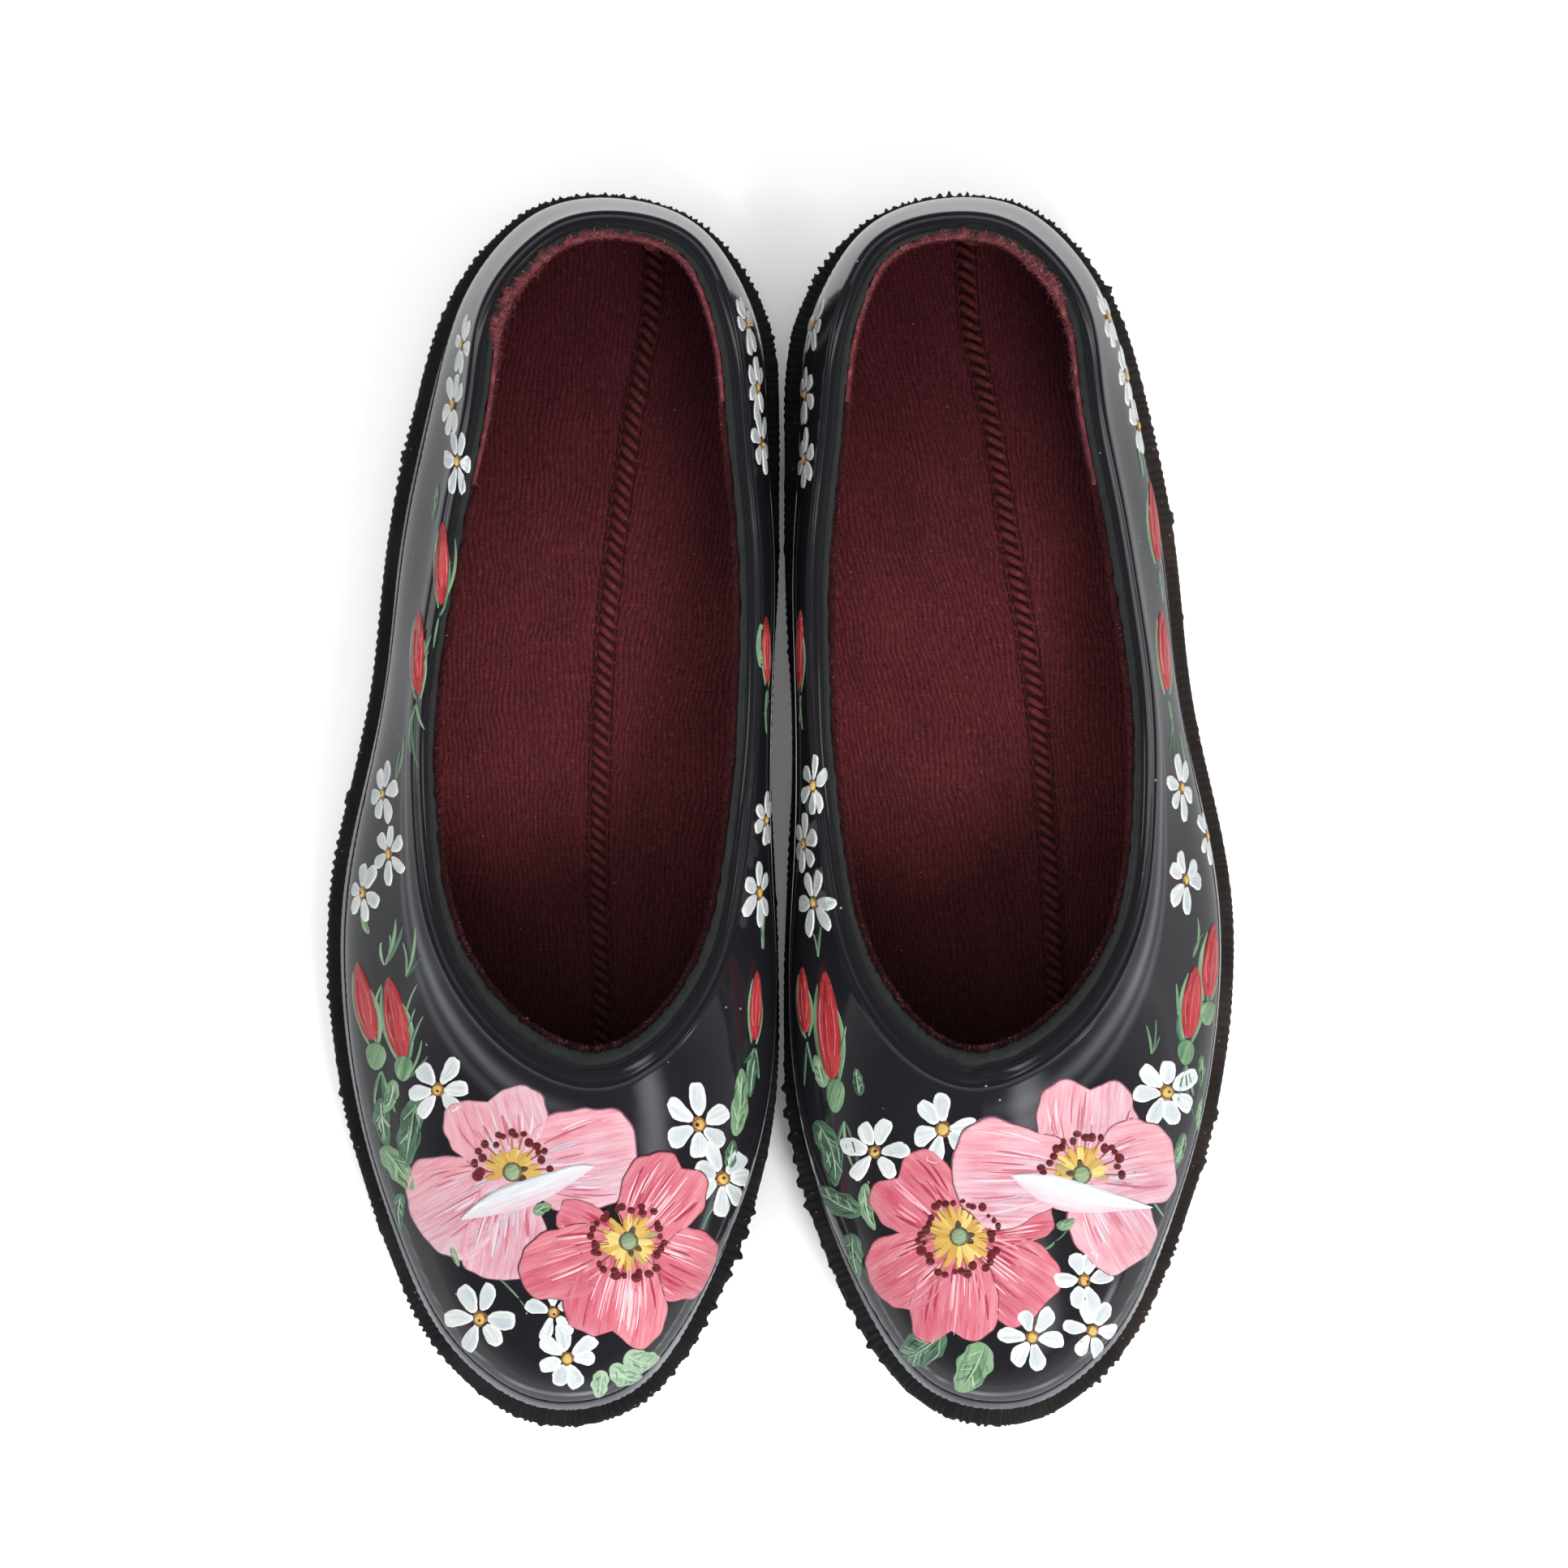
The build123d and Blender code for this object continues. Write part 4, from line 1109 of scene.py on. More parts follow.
def cleat(outline):
    """Prism from the sole body down to the tread, with a bevelled tread edge."""
    bevel = 0.45
    outline = np.asarray(outline, float)
    count = len(outline)
    centre = outline.mean(0)
    into = inward(outline)
    low = tread_z(outline[:, 1])
    points = np.concatenate([
        np.column_stack([outline, low + LUG_DEPTH + 0.5]),
        np.column_stack([outline, low + bevel * 1.1]),
        np.column_stack([outline + into * bevel * 0.35, low + bevel * 0.35]),
        np.column_stack([outline + into * bevel, low]),
        [[centre[0], centre[1], low.mean()]]])
    faces = ring_faces(4, count)
    faces += [[3 * count + j, 3 * count + (j + 1) % count, 4 * count] for j in range(count)]
    faces.append(list(range(count))[::-1])
    return points, faces


def bars(start, cuts, half_cut, end):
    """(back, front) of the bars left between cuts across the sole."""
    edges = [start] + sum([[cut - half_cut, cut + half_cut] for cut in cuts], []) + [end]
    return zip(edges[::2], edges[1::2])


def build_tread(name, side):
    """Body of the sole between rand and tread, with heel bars and forefoot cleats."""
    count = 320
    outline = OUTLINE(angles(count))
    ring = outline + inward(outline) * 1.3
    spine = spine_of(ring)

    def top_z(along):
        return feather_z(along) - GAP - 0.7

    def bottom_z(along):
        return tread_z(along) + LUG_DEPTH
    rows = []
    for share in (0.93, 0.6, 0.3, 0.12, 0.0):
        plan = ring * (1 - share) + spine * share
        rows.append(np.column_stack([plan, top_z(plan[:, 1])]))
    for share in (0.3, 0.7):
        z = top_z(ring[:, 1]) * (1 - share) + bottom_z(ring[:, 1]) * share
        rows.append(np.column_stack([ring, z]))
    for share in (*np.linspace(0.0, 0.2, 6), *np.linspace(0.25, 0.985, 18)):
        plan = ring * (1 - share) + spine * share
        rows.append(np.column_stack([plan, bottom_z(plan[:, 1])]))
    points = [np.array(rows).reshape(-1, 3)]
    faces = ring_faces(len(rows), count)
    faces += zip_faces(0, count) + zip_faces((len(rows) - 1) * count, count)
    total = len(rows) * count

    rim = OUTLINE(angles(720))
    lateral, medial = rim[:361], np.concatenate([rim[360:], rim[:1]])[::-1]
    # two lengthwise grooves split the forefoot bars into three cleats; None is the sole's edge
    groove, half_groove = 17.0, 1.6
    split = [(None, -groove - half_groove), (-groove + half_groove, groove - half_groove),
             (groove + half_groove, None)]
    heel_bars = bars(3.2, [14.0, 26.0, 38.0, 50.0], 1.7, 61.0)
    front_bars = bars(115.5, list(np.arange(124, 250, 10.5)), 1.8, 262.0)
    layout = [(back, front, 0.0, [(None, None)]) for back, front in heel_bars]
    layout += [(back, front, 5.0, [(None, None)] if back > 225 else split)
               for back, front in front_bars]
    for back, front, skew, spans in layout:
        for start_x, end_x in spans:
            left, right = [], []
            for along in np.linspace(back, front, 5):
                bulge = 0.55 if 196 < along < 250 else 0.0
                x0, x1 = start_x, end_x
                if x0 is None:
                    x0 = np.interp(along, lateral[:, 1], lateral[:, 0]) + 0.9 - bulge
                if x1 is None:
                    x1 = (np.interp(along, medial[:, 1], medial[:, 0]) - 0.9
                          + bulge * (0.7 if along > 226 else 0.15))
                left.append([x0, along + skew * x0 / 50])
                right.append([x1, along + skew * x1 / 50])
            ends = []
            for row in (-1, 0):
                a, b = np.array(left[row]), np.array(right[row])
                ends.append([list(a * (1 - share) + b * share) for share in (.25, .5, .75)])
            made, made_faces = cleat(left + ends[0] + right[::-1] + ends[1][::-1])
            points.append(made)
            faces += shifted(made_faces, total)
            total += len(made)
    made = new_mesh(f"{name}_outsole_tread", place(np.concatenate(points), side), faces, M_SOLE)
    fix_normals(made)
    made.data.set_sharp_from_angle(angle=math.radians(32))
    return made


# ---------------------------------------------------------------- paint colours
WHITE_EDGE = (rgb(243, 244, 240), rgb(233, 235, 232))
YELLOW = (rgb(218, 184, 92), rgb(186, 140, 66))
DARKRED = (rgb(112, 28, 36), rgb(76, 16, 24))
GREEN = (rgb(78, 118, 84), rgb(138, 170, 132))
DEEPGREEN = (rgb(38, 70, 56), rgb(86, 124, 96))
PALEGREEN = (rgb(110, 150, 118), rgb(176, 200, 172))
BUD = (rgb(160, 30, 38), rgb(190, 62, 66))


def rose_palette(body, streak, edge, shadow, tint, tint_sign, amount, dark_below, pale_below,
                 pale, rest, throat):
    """Bristles are (upper limit of a random pick, colour pair)."""
    bristles = [(dark_below, (streak, body[0])), (pale_below, (pale, body[1])), (1.0, rest)]
    return dict(body=body, edge=edge, shadow=shadow, tint=tint, tint_sign=tint_sign,
                amount=amount, bristles=bristles, throat=throat)


PINK = rose_palette(
    body=(rgb(206, 126, 142), rgb(216, 186, 196)), streak=rgb(180, 86, 106),
    edge=(rgb(212, 148, 162), rgb(222, 200, 208)), shadow=rgb(138, 80, 102),
    tint=(rgb(224, 132, 146), rgb(230, 172, 182)), tint_sign=1, amount=.62,
    dark_below=.42, pale_below=.8, pale=rgb(230, 218, 226),
    rest=(rgb(176, 148, 170), rgb(216, 186, 196)), throat=True)
RED = rose_palette(
    body=(rgb(190, 66, 88), rgb(206, 116, 132)), streak=rgb(146, 38, 64),
    edge=(rgb(196, 92, 110), rgb(212, 138, 150)), shadow=rgb(112, 30, 52),
    tint=(rgb(208, 96, 112), rgb(226, 156, 164)), tint_sign=-1, amount=.60,
    dark_below=.5, pale_below=.85, pale=rgb(240, 176, 182),
    rest=(rgb(246, 214, 218), rgb(196, 92, 110)), throat=False)


def arch(start, end, count):
    """Width profile of a brush mark."""
    return np.sin(np.pi * np.linspace(start, end, count))


def across_of(axis):
    return np.array([-axis[1], axis[0]])


# ---------------------------------------------------------------- brush
class Brush:
    """Lays flat daubs and strokes on the skin of one upper. Shapes are drawn in plan
    millimetres of the pair (x right, y up) on the level PLAN_Z, as seen from the camera."""

    def __init__(self, side, tree):
        self.tree = tree
        self.points, self.faces, self.first, self.second, self.flow = [], [], [], [], []
        self.count = 0
        self.rng = np.random.default_rng(900 + side)
        self.seed = 0.0
        self.limit = None
        self.lay = self.from_camera

    def finish(self, name):
        return new_mesh(f"{name}_painted_flowers", np.concatenate(self.points), self.faces,
                        M_PAINT, attributes={"ColA": np.concatenate(self.first),
                                             "ColB": np.concatenate(self.second),
                                             "Stroke": np.concatenate(self.flow)})

    # --- layouts: plan points to skin points and normals
    def from_camera(self, plan):
        points, normals = [], []
        for x, y in plan:
            target = np.array([x, y, PLAN_Z]) * MM
            view = target - CAMERA
            view /= np.linalg.norm(view)
            hit, normal, _, _ = self.tree.ray_cast(Vector(CAMERA), Vector(view))
            if hit is None:
                above = Vector(target + np.array([0, 0, 0.01]))
                hit, normal, _, _ = self.tree.find_nearest(above)
            normal = np.array(normal)
            points.append(np.array(hit))
            normals.append(-normal if np.dot(normal, view) > 0 else normal)
        return np.array(points), np.array(normals)

    def wall(self, centre, most, half, fit=1.0):
        """Layout about one point on a steep wall, in the wall's own tangent plane, where up
        the wall is stretched no more than most. None where the skin lies flat enough."""
        centre = np.asarray(centre, float)
        points, normals = self.from_camera([centre, centre + [0, 1.2], centre - [0, 1.2]])
        origin, normal = points[0], normals.mean(0)
        normal /= np.linalg.norm(normal)
        view = origin - CAMERA
        view /= np.linalg.norm(view)
        facing = max(0.06, abs(float(normal @ view)))
        if facing > 0.55:
            return None
        level = np.cross([0, 0, 1.0], normal)
        level /= np.linalg.norm(level)
        up = np.cross(normal, level)
        if up[2] < 0:
            up = -up
        plan_level = level[:2] / np.linalg.norm(level[:2])
        plan_up = up[:2] / np.linalg.norm(up[:2])
        if normal[:2] @ plan_up > 0:
            plan_up = -plan_up
        gain = min(max(1.0, fit / facing), most)
        back_off = normal * 0.012       # rays start this far off the wall, metres
        # room above and below: clear of the collar roll and the sole, sliding down if need be
        room = []
        for way in (1, -1):
            free = 0.0
            while free < 16:
                probe = origin + up * way * (free + .5) * MM + back_off
                hit, found, _, distance = self.tree.ray_cast(Vector(probe), Vector(-normal))
                if (hit is None or abs(float(np.array(found) @ normal)) < 0.84
                        or distance > 0.017):
                    break
                free += .5
            room.append(free)
        need = half * gain
        if room[0] < need:
            origin = origin - up * min(need - room[0], max(0.0, room[1] - need)) * MM

        def put(plan):
            offset = np.asarray(plan, float) - centre
            flat = origin + ((offset @ plan_level)[:, None] * level
                             + (offset @ plan_up * gain)[:, None] * up) * MM
            points, normals = [], []
            for point in flat:
                hit, found, _, distance = self.tree.ray_cast(Vector(point + back_off),
                                                             Vector(-normal))
                if hit is None or distance > 0.022:
                    hit, found, _, _ = self.tree.find_nearest(Vector(point))
                found = np.array(found)
                points.append(np.array(hit))
                normals.append(-found if found @ normal < 0 else found)
            return np.array(points), np.array(normals)
        put.on_wall = True
        return put

    def long_layout(self, start, end, width):
        """Layout for a long narrow shape."""
        length = np.linalg.norm(end - start)
        most = max(1.15, 0.58 * length / width)
        self.lay = self.wall((start + end) / 2, most, width * .62) or self.from_camera

    def squeezed_layout(self, centre, squeeze):
        """Foreshortened drawing about a point."""
        wall = self.wall(centre, 1.12, 6.9, squeeze) if squeeze < .8 else None
        scale = np.array([squeeze, 1.0])
        self.lay = wall or (
            lambda plan: self.from_camera(centre + (np.asarray(plan, float) - centre) * scale))

    def hold(self, centre, reach):
        """Keep what follows within a height band about one point, so that nothing runs
        down a steep wall."""
        self.limit = None
        if not getattr(self.lay, "on_wall", False):
            self.limit = (float(self.lay([centre])[0][0][2]), reach * MM)

    def settle(self, points, normals):
        """Pull points that have slid down the wall back up it, smoothly."""
        if self.limit is None:
            return points, normals
        centre_z, band = self.limit
        free = 0.45 * band
        for i in range(len(points)):
            slide = points[i][2] - centre_z
            if abs(slide) < free:
                continue
            soft = (band - free) * math.tanh((abs(slide) - free) / (band - free))
            want = centre_z + math.copysign(free + soft, slide)
            if abs(want - points[i][2]) < 2e-5:
                continue
            hit, normal, _, _ = self.tree.find_nearest(Vector((points[i][0], points[i][1], want)))
            normal = np.array(normal)
            if np.dot(normal, normals[i]) < 0:
                normal = -normal
            points[i], normals[i] = np.array(hit), normal
        return points, normals

    # --- marks
    def sheet(self, plan, heights, faces, colours, flow):
        points, normals = self.settle(*self.lay(plan))
        count = len(points)
        self.points.append(points + normals * (np.asarray(heights) * MM)[:, None])
        self.faces += shifted(faces, self.count)
        for store, colour in zip((self.first, self.second), colours):
            store.append(np.column_stack([np.broadcast_to(colour, (count, 3)), np.ones(count)]))
        self.flow.append(flow)
        self.count += count

    def blob(self, outline, colours, direction=(1, 0), thick=0.12, rim=0.10, rings=7, edge=None,
             dome=0.0, layer=0.0, centre=None, radial=False, tint=None):
        """Closed outline filled with rings towards its middle."""
        outline = np.asarray(outline, float)
        count = len(outline)
        centre = outline.mean(0) if centre is None else centre
        self.seed += 1.37
        axis = np.asarray(direction, float)
        axis = axis / np.linalg.norm(axis)
        side = across_of(axis)
        shrink = np.concatenate([[1.0, 0.99], np.linspace(0.95, 0.12, rings)])
        size = np.linalg.norm(outline - centre, axis=1).mean()
        depth = (1 - shrink) * size
        heights = (thick * np.minimum(1.0, 0.35 + depth / 0.5)
                   + rim * np.exp(-((depth - 0.45) / 0.4) ** 2)
                   + dome * (1 - shrink**2) + layer)
        heights[0] = -0.10
        heights = np.append(np.repeat(heights, count), thick + dome + layer)
        points = centre + (outline - centre)[None] * shrink[:, None, None]
        points = np.concatenate([points.reshape(-1, 2), [centre]])
        weight = np.clip(1 - depth / (0.32 * size), 0, 1)[:, None]
        shades = []
        for plain, border in zip(colours, edge or colours):
            rows = np.repeat((1 - weight) * plain + weight * border, count, 0)
            shades.append(np.concatenate([rows, rows[-1:]]))
        offset = points - centre
        run, sweep = offset @ axis, offset @ side
        if tint is not None:        # a second wet colour pulled in from one side
            wet, sign, amount = tint
            share = (0.45 + sign * sweep / (1.25 * size)
                     + 0.18 * np.sin(run / size * 3.0 + self.seed))
            share = (bell(share, 1.2) * amount)[:, None]
            shades = [plain * (1 - share) + added * share for plain, added in zip(shades, wet)]
        if radial:
            run, sweep = np.linalg.norm(offset, axis=1), np.arctan2(sweep, run) * size * 0.9
        flow = np.column_stack([run, sweep, np.full(len(points), self.seed)])
        faces = ring_faces(len(shrink), count)
        last = (len(shrink) - 1) * count
        faces += [[last + j, last + (j + 1) % count, len(points) - 1] for j in range(count)]
        self.sheet(points, heights, faces, shades, flow)

    def stroke(self, line, widths, height, colours, layer=0.0, cols=5):
        """Line with a raised back."""
        line = np.asarray(line, float)
        tangent = np.gradient(line, axis=0)
        tangent /= np.linalg.norm(tangent, axis=1)[:, None] + 1e-9
        normal = np.stack([-tangent[:, 1], tangent[:, 0]], 1)
        across = np.linspace(-1, 1, cols)
        offset = np.asarray(widths)[:, None] * across[None] / 2
        plan = (line[:, None] + normal[:, None] * offset[:, :, None]).reshape(-1, 2)
        self.seed += 1.37
        run = np.concatenate([[0], np.cumsum(np.linalg.norm(np.diff(line, axis=0), axis=1))])
        waver = 0.05 * np.sin(run * 1.7 + self.seed)
        heights = layer + height * (1 - np.abs(across[None]) ** 3) * (1 + waver[:, None])
        heights[:, [0, -1]] = -0.1
        heights[[0, -1]] = -0.1
        flow = np.column_stack([np.repeat(run, cols), offset.ravel(),
                                np.full(len(plan), self.seed)])
        self.sheet(plan, heights.ravel(), grid_faces(len(line), cols), colours, flow)

    def petal_outline(self, base, tip, width, lobes, count, tuck):
        """Petal narrowed to tuck at its base; two lobes give it a notch at the tip."""
        axis = tip - base
        length = np.linalg.norm(axis)
        axis = axis / length
        turn = angles(count)
        run = 0.5 - 0.5 * np.cos(turn)              # 0 at base, 1 at tip
        half = (width / 2 * (np.abs(np.sin(turn)) ** 0.62)
                * (tuck + (1 - tuck) * np.clip(run * 1.55, 0, 1) ** 0.8))
        offset = np.sign(np.sin(turn)) * half
        if lobes == 2:
            run = run - 0.13 * np.exp(-(offset / (width * 0.13)) ** 2) * (run > .6)
        jig = 1 + 0.05 * (np.sin(turn * 3 + self.rng.uniform(0, 6))
                          + 0.6 * np.sin(turn * 5 + self.rng.uniform(0, 6))
                          + 0.35 * np.sin(turn * 11 + self.rng.uniform(0, 6)))
        run = 0.5 + (run - 0.5) * jig
        return base + axis * (run * length)[:, None] + across_of(axis) * (offset * jig)[:, None]

    def spindle(self, base, tip, width):
        """Pointed bud petal, fullest below its middle."""
        axis = tip - base
        turn = angles(40)
        run = 0.5 - 0.5 * np.cos(turn)
        half = width / 2 * np.sin(np.pi * np.clip(run, 0, 1) ** 0.80) ** 0.58
        offset = (np.sign(np.sin(turn)) * half
                  * (1 + 0.03 * np.sin(turn * 5 + self.rng.uniform(0, 6))))
        return (base + axis * run[:, None]
                + across_of(axis) / np.linalg.norm(axis) * offset[:, None])

    # --- flowers and leaves
    def daisy(self, centre, radius, squeeze, petals=6):
        rng = self.rng
        centre = np.asarray(centre, float)
        self.squeezed_layout(centre, squeeze)
        turn = rng.uniform(0, 6.28)
        self.hold(centre, radius * 1.02)
        for i in range(petals):
            angle = turn + i * 2 * np.pi / petals + rng.normal(0, 0.11)
            axis = np.array([math.cos(angle), math.sin(angle)])
            length = radius * rng.uniform(0.84, 1.10)
            outline = self.petal_outline(centre + axis * radius * 0.20, centre + axis * length,
                                         rng.uniform(3.2, 4.1) * radius / 7.2, 1, 30, 0.50)
            bend = across_of(axis) * rng.normal(0, 0.35)
            outline = outline + bend * (((outline - centre) @ axis) / radius)[:, None] ** 2
            second = rgb(176, 188, 196) if rng.uniform() < 0.4 else rgb(190, 199, 206)
            first = rgb(230, 232, 228) if rng.uniform() < .7 else rgb(206, 212, 210)
            self.blob(outline, (first, second), axis, thick=0.13, rim=0.13, rings=5,
                      edge=WHITE_EDGE, layer=0.09 * (i % 2))
        eye = rng.uniform(1.25, 1.55) * radius / 6.8
        ring = circle(18)
        wavy = (1 + 0.10 * np.sin(3 * angles(18) + turn))[:, None]
        self.blob(centre + ring * eye * wavy, (rgb(150, 112, 60), rgb(98, 62, 44)), thick=0.18,
                  rim=0.0, rings=3, dome=0.1, layer=0.16)
        self.blob(centre + ring * eye * .74, (YELLOW[0], rgb(204, 172, 92)), thick=0.2, rim=0.0,
                  rings=3, dome=0.32, layer=0.2)
        if rng.uniform() < .55:
            spot = centre + rng.normal(0, .25, 2)
            self.blob(spot + ring[::2] * eye * .36, DARKRED, thick=0.2, rim=0.0, rings=2,
                      dome=0.25, layer=0.42)
        self.limit = None

    def leaf(self, base, tip, width, greens, layer=0.0):
        rng = self.rng
        base, tip = np.array(base), np.array(tip)
        self.long_layout(base, tip, width)
        reach = tip - base
        length = np.linalg.norm(reach)
        self.hold((base + tip) / 2, 0.58 * length + 0.8)
        axis = reach / length
        side = across_of(axis)
        turn = angles(56)
        run = 0.5 - 0.5 * np.cos(turn)
        phase = rng.uniform(0, 6)
        offset = np.sin(turn) * width / 2 * (0.80 + 0.20 * np.cos(turn + .4))
        offset *= 1 + ((0.075 * np.sin(turn * 9 + phase) + 0.05 * np.sin(turn * 5 + phase))
                       * min(1.0, width / 3.0))
        curve = rng.uniform(-.10, .10) * length

        def on_leaf(run, offset):
            return base + reach * run + side * (curve * np.sin(np.pi * run) + offset)
        self.blob(on_leaf(run[:, None], offset[:, None]), greens,
                  axis + side * rng.uniform(.2, .6), thick=0.12, rim=0.10, rings=6, layer=layer,
                  edge=(.6 * greens[0] + .4 * greens[1], greens[1]))
        self.stroke(on_leaf(np.linspace(0.04, 0.95, 12)[:, None], 0),
                    0.42 * arch(.15, 1, 12) + .10, 0.13, (greens[1], rgb(190, 208, 182)),
                    layer + 0.12)
        if width > 2.6:
            # side veins
            for i in range(int(3 + width)):
                start = rng.uniform(.08, .7)
                sign = 1 if i % 2 else -1
                root = on_leaf(start, 0)
                end = min(.95, start + rng.uniform(.16, .3))
                half = width / 2 * math.sin(math.acos(1 - 2 * end)) * .72
                step = np.linspace(0, 1, 8)[:, None]
                line = (root * (1 - step) + on_leaf(end, sign * half) * step
                        + axis * (step * (1 - step)) * length * .05)
                light = rng.uniform() < .6
                pair = (rgb(176, 202, 172), greens[1]) if light else (.5 * greens[0], greens[0])
                self.stroke(line, arch(.1, .95, 8) * rng.uniform(.3, .62), 0.09, pair,
                            layer + 0.11)
            # wet-brush drags of a second green and of grey white along the blade
            for i in range(int(2 + width * 1.2)):
                start = rng.uniform(.05, .5)
                end = min(.93, start + rng.uniform(.25, .5))
                shift = rng.uniform(-.34, .34) * width
                run = np.linspace(start, end, 9)[:, None]
                line = on_leaf(run, shift * np.sin(np.pi * np.clip(run * .9 + .08, 0, 1)))
                kind = rng.uniform()
                if kind < .5:
                    first = .42 * greens[0]
                else:
                    first = rgb(150, 178, 160) if kind < .85 else rgb(196, 208, 204)
                self.stroke(line, arch(.08, .95, 9) * rng.uniform(.25, .6), 0.07,
                            (first, greens[0]), layer + 0.12)
        self.limit = None

    def bud(self, tip, base, width, calyx=None):
        """Closed flower; calyx is (x, y, half width, half height) of the cup under it."""
        base, tip = np.array(base), np.array(tip)
        self.long_layout(base, tip, width)
        reach = tip - base
        length = np.linalg.norm(reach)
        side = across_of(reach / length)
        self.hold((base + tip) / 2, 0.60 * length + 0.6)
        # sepals behind, hugging the flower on both sides, then the closed petals
        step = np.linspace(0, 1, 14)[:, None]
        for sign in (-1, 1):
            line = (base - reach * .08 + reach * step * (1.0 if sign > 0 else .78)
                    + side * sign * width * (.16 + .42 * np.sin(np.pi * step * .88)))
            self.stroke(line, arch(.12, .98, 14) ** .7 * width * .26, .14,
                        (DEEPGREEN[1], GREEN[1]), cols=7)
        self.blob(self.spindle(base, tip, width * .98), BUD, reach, thick=0.14, rim=0.10,
                  rings=6, layer=.08, edge=(.75 * BUD[0], rgb(176, 58, 62)))
        outline = self.spindle(base + reach * .02 - side * width * .12,
                               tip - reach * .10 - side * width * .10, width * .58)
        self.blob(outline, (1.1 * BUD[0], BUD[1]), reach, thick=0.14, rim=0.08, rings=4,
                  layer=.20, edge=(BUD[0], rgb(186, 66, 70)))
        step = np.linspace(0, 1, 10)[:, None]
        for shift, colour in ((-.30, rgb(222, 150, 148)), (.05, rgb(206, 104, 104)),
                              (.26, rgb(110, 22, 34)), (.36, rgb(206, 120, 120))):
            line = (base + reach * (.14 + .68 * step)
                    + side * width * shift * np.sin(np.pi * (.15 + .7 * step)))
            self.stroke(line, arch(.1, .95, 10) * .36, .08, (colour, BUD[1]), .30)
        self.limit = None
        if calyx:
            centre, half = np.array(calyx[:2]), np.array(calyx[2:]) * [.90, 1.06]
            self.hold(centre, half[1] * 1.2)
            unit = circle(24)
            narrow = 1 + .20 * unit[:, 1]
            self.blob(centre + unit * half * np.column_stack([narrow, np.ones(24)]), GREEN,
                      (0.3, 1), thick=0.16, rim=0.12, rings=4, dome=0.15, layer=0.16)
            self.stroke(centre + half * [(-.2, -.8), (0, 0), (.15, .8)], [.5, 1.2, .5], .1,
                        (rgb(196, 218, 194), GREEN[1]), .3)
            self.stroke(centre + half * [(-.65, -.5), (-.78, 0), (-.5, .6)], [.3, .7, .3], .1,
                        (rgb(44, 76, 56), GREEN[0]), .3)
            self.limit = None

    def blades(self, width, root, *tips, greens=DEEPGREEN):
        """Grass blades from one root."""
        self.lay = self.wall(np.array([root, *tips]).mean(0), 1.8, 2.4) or self.from_camera
        start = np.array(root)
        step = np.linspace(0, 1, 14)[:, None]
        for i, tip in enumerate(tips):
            end = np.array(tip)
            reach = end - start
            knee = (start + end) / 2 + across_of(reach) * self.rng.uniform(-.22, .22)
            line = start * (1 - step) ** 2 + 2 * step * (1 - step) * knee + end * step * step
            widths = arch(.10, .97, 14) ** .8 * width * self.rng.uniform(.6, 1.0)
            pair = greens if i % 3 else GREEN
            self.hold((start + end) / 2, 0.62 * np.linalg.norm(reach) + .5)
            self.stroke(line, widths, .15, pair, cols=7)
            if i % 2:
                self.stroke(line + np.array([widths.max() * .18, 0]), widths * .22, .08,
                            (rgb(176, 204, 186), pair[1]), .12)
            self.limit = None

    def green_blades(self, *args):
        self.blades(*args, greens=GREEN)

    def fold(self, layer, ends, top, bottom):
        """Folded-over petal edge between an upper and a lower line with shared ends."""
        self.lay = self.from_camera
        rows, cols = 40, 15

        def dense(middle):
            points = np.array([ends[0], *middle, ends[1]])
            index = np.arange(len(points))
            at = np.linspace(0, len(points) - 1, rows)
            return np.column_stack([spline(np.column_stack([index, points[:, axis]]), at)
                                    for axis in (0, 1)])
        upper, lower = dense(top), dense(bottom)
        across = np.linspace(0, 1, cols)
        plan = (upper[:, None] * (1 - across)[None, :, None]
                + lower[:, None] * across[None, :, None]).reshape(-1, 2)
        profile = (np.sin(np.pi * across) ** .5 * .20
                   + np.exp(-((across - .12) / .10) ** 2) * .12)
        index = np.arange(rows)
        heights = layer + profile[None] * np.clip(np.minimum(index, rows - 1 - index) / 4,
                                                  0, 1)[:, None]
        heights[:, [0, -1]] = -.1
        heights[[0, -1]] = -.1
        self.seed += 1.37
        steps = np.linalg.norm(np.diff((upper + lower) / 2, axis=0), axis=1)
        run = np.concatenate([[0], np.cumsum(steps)])
        width = np.linalg.norm(upper - lower, axis=1)
        flow = np.column_stack([np.repeat(run, cols),
                                (width[:, None] * (across[None] - .5)).ravel(),
                                np.full(len(plan), self.seed)])
        shade = np.tile(across, rows)[:, None] ** 2
        first = rgb(232, 234, 234) * (1 - shade) + rgb(206, 196, 206) * shade
        second = rgb(206, 214, 222) * (1 - shade) + rgb(222, 170, 182) * shade
        self.sheet(plan, heights.ravel(), grid_faces(rows, cols), (first, second), flow)

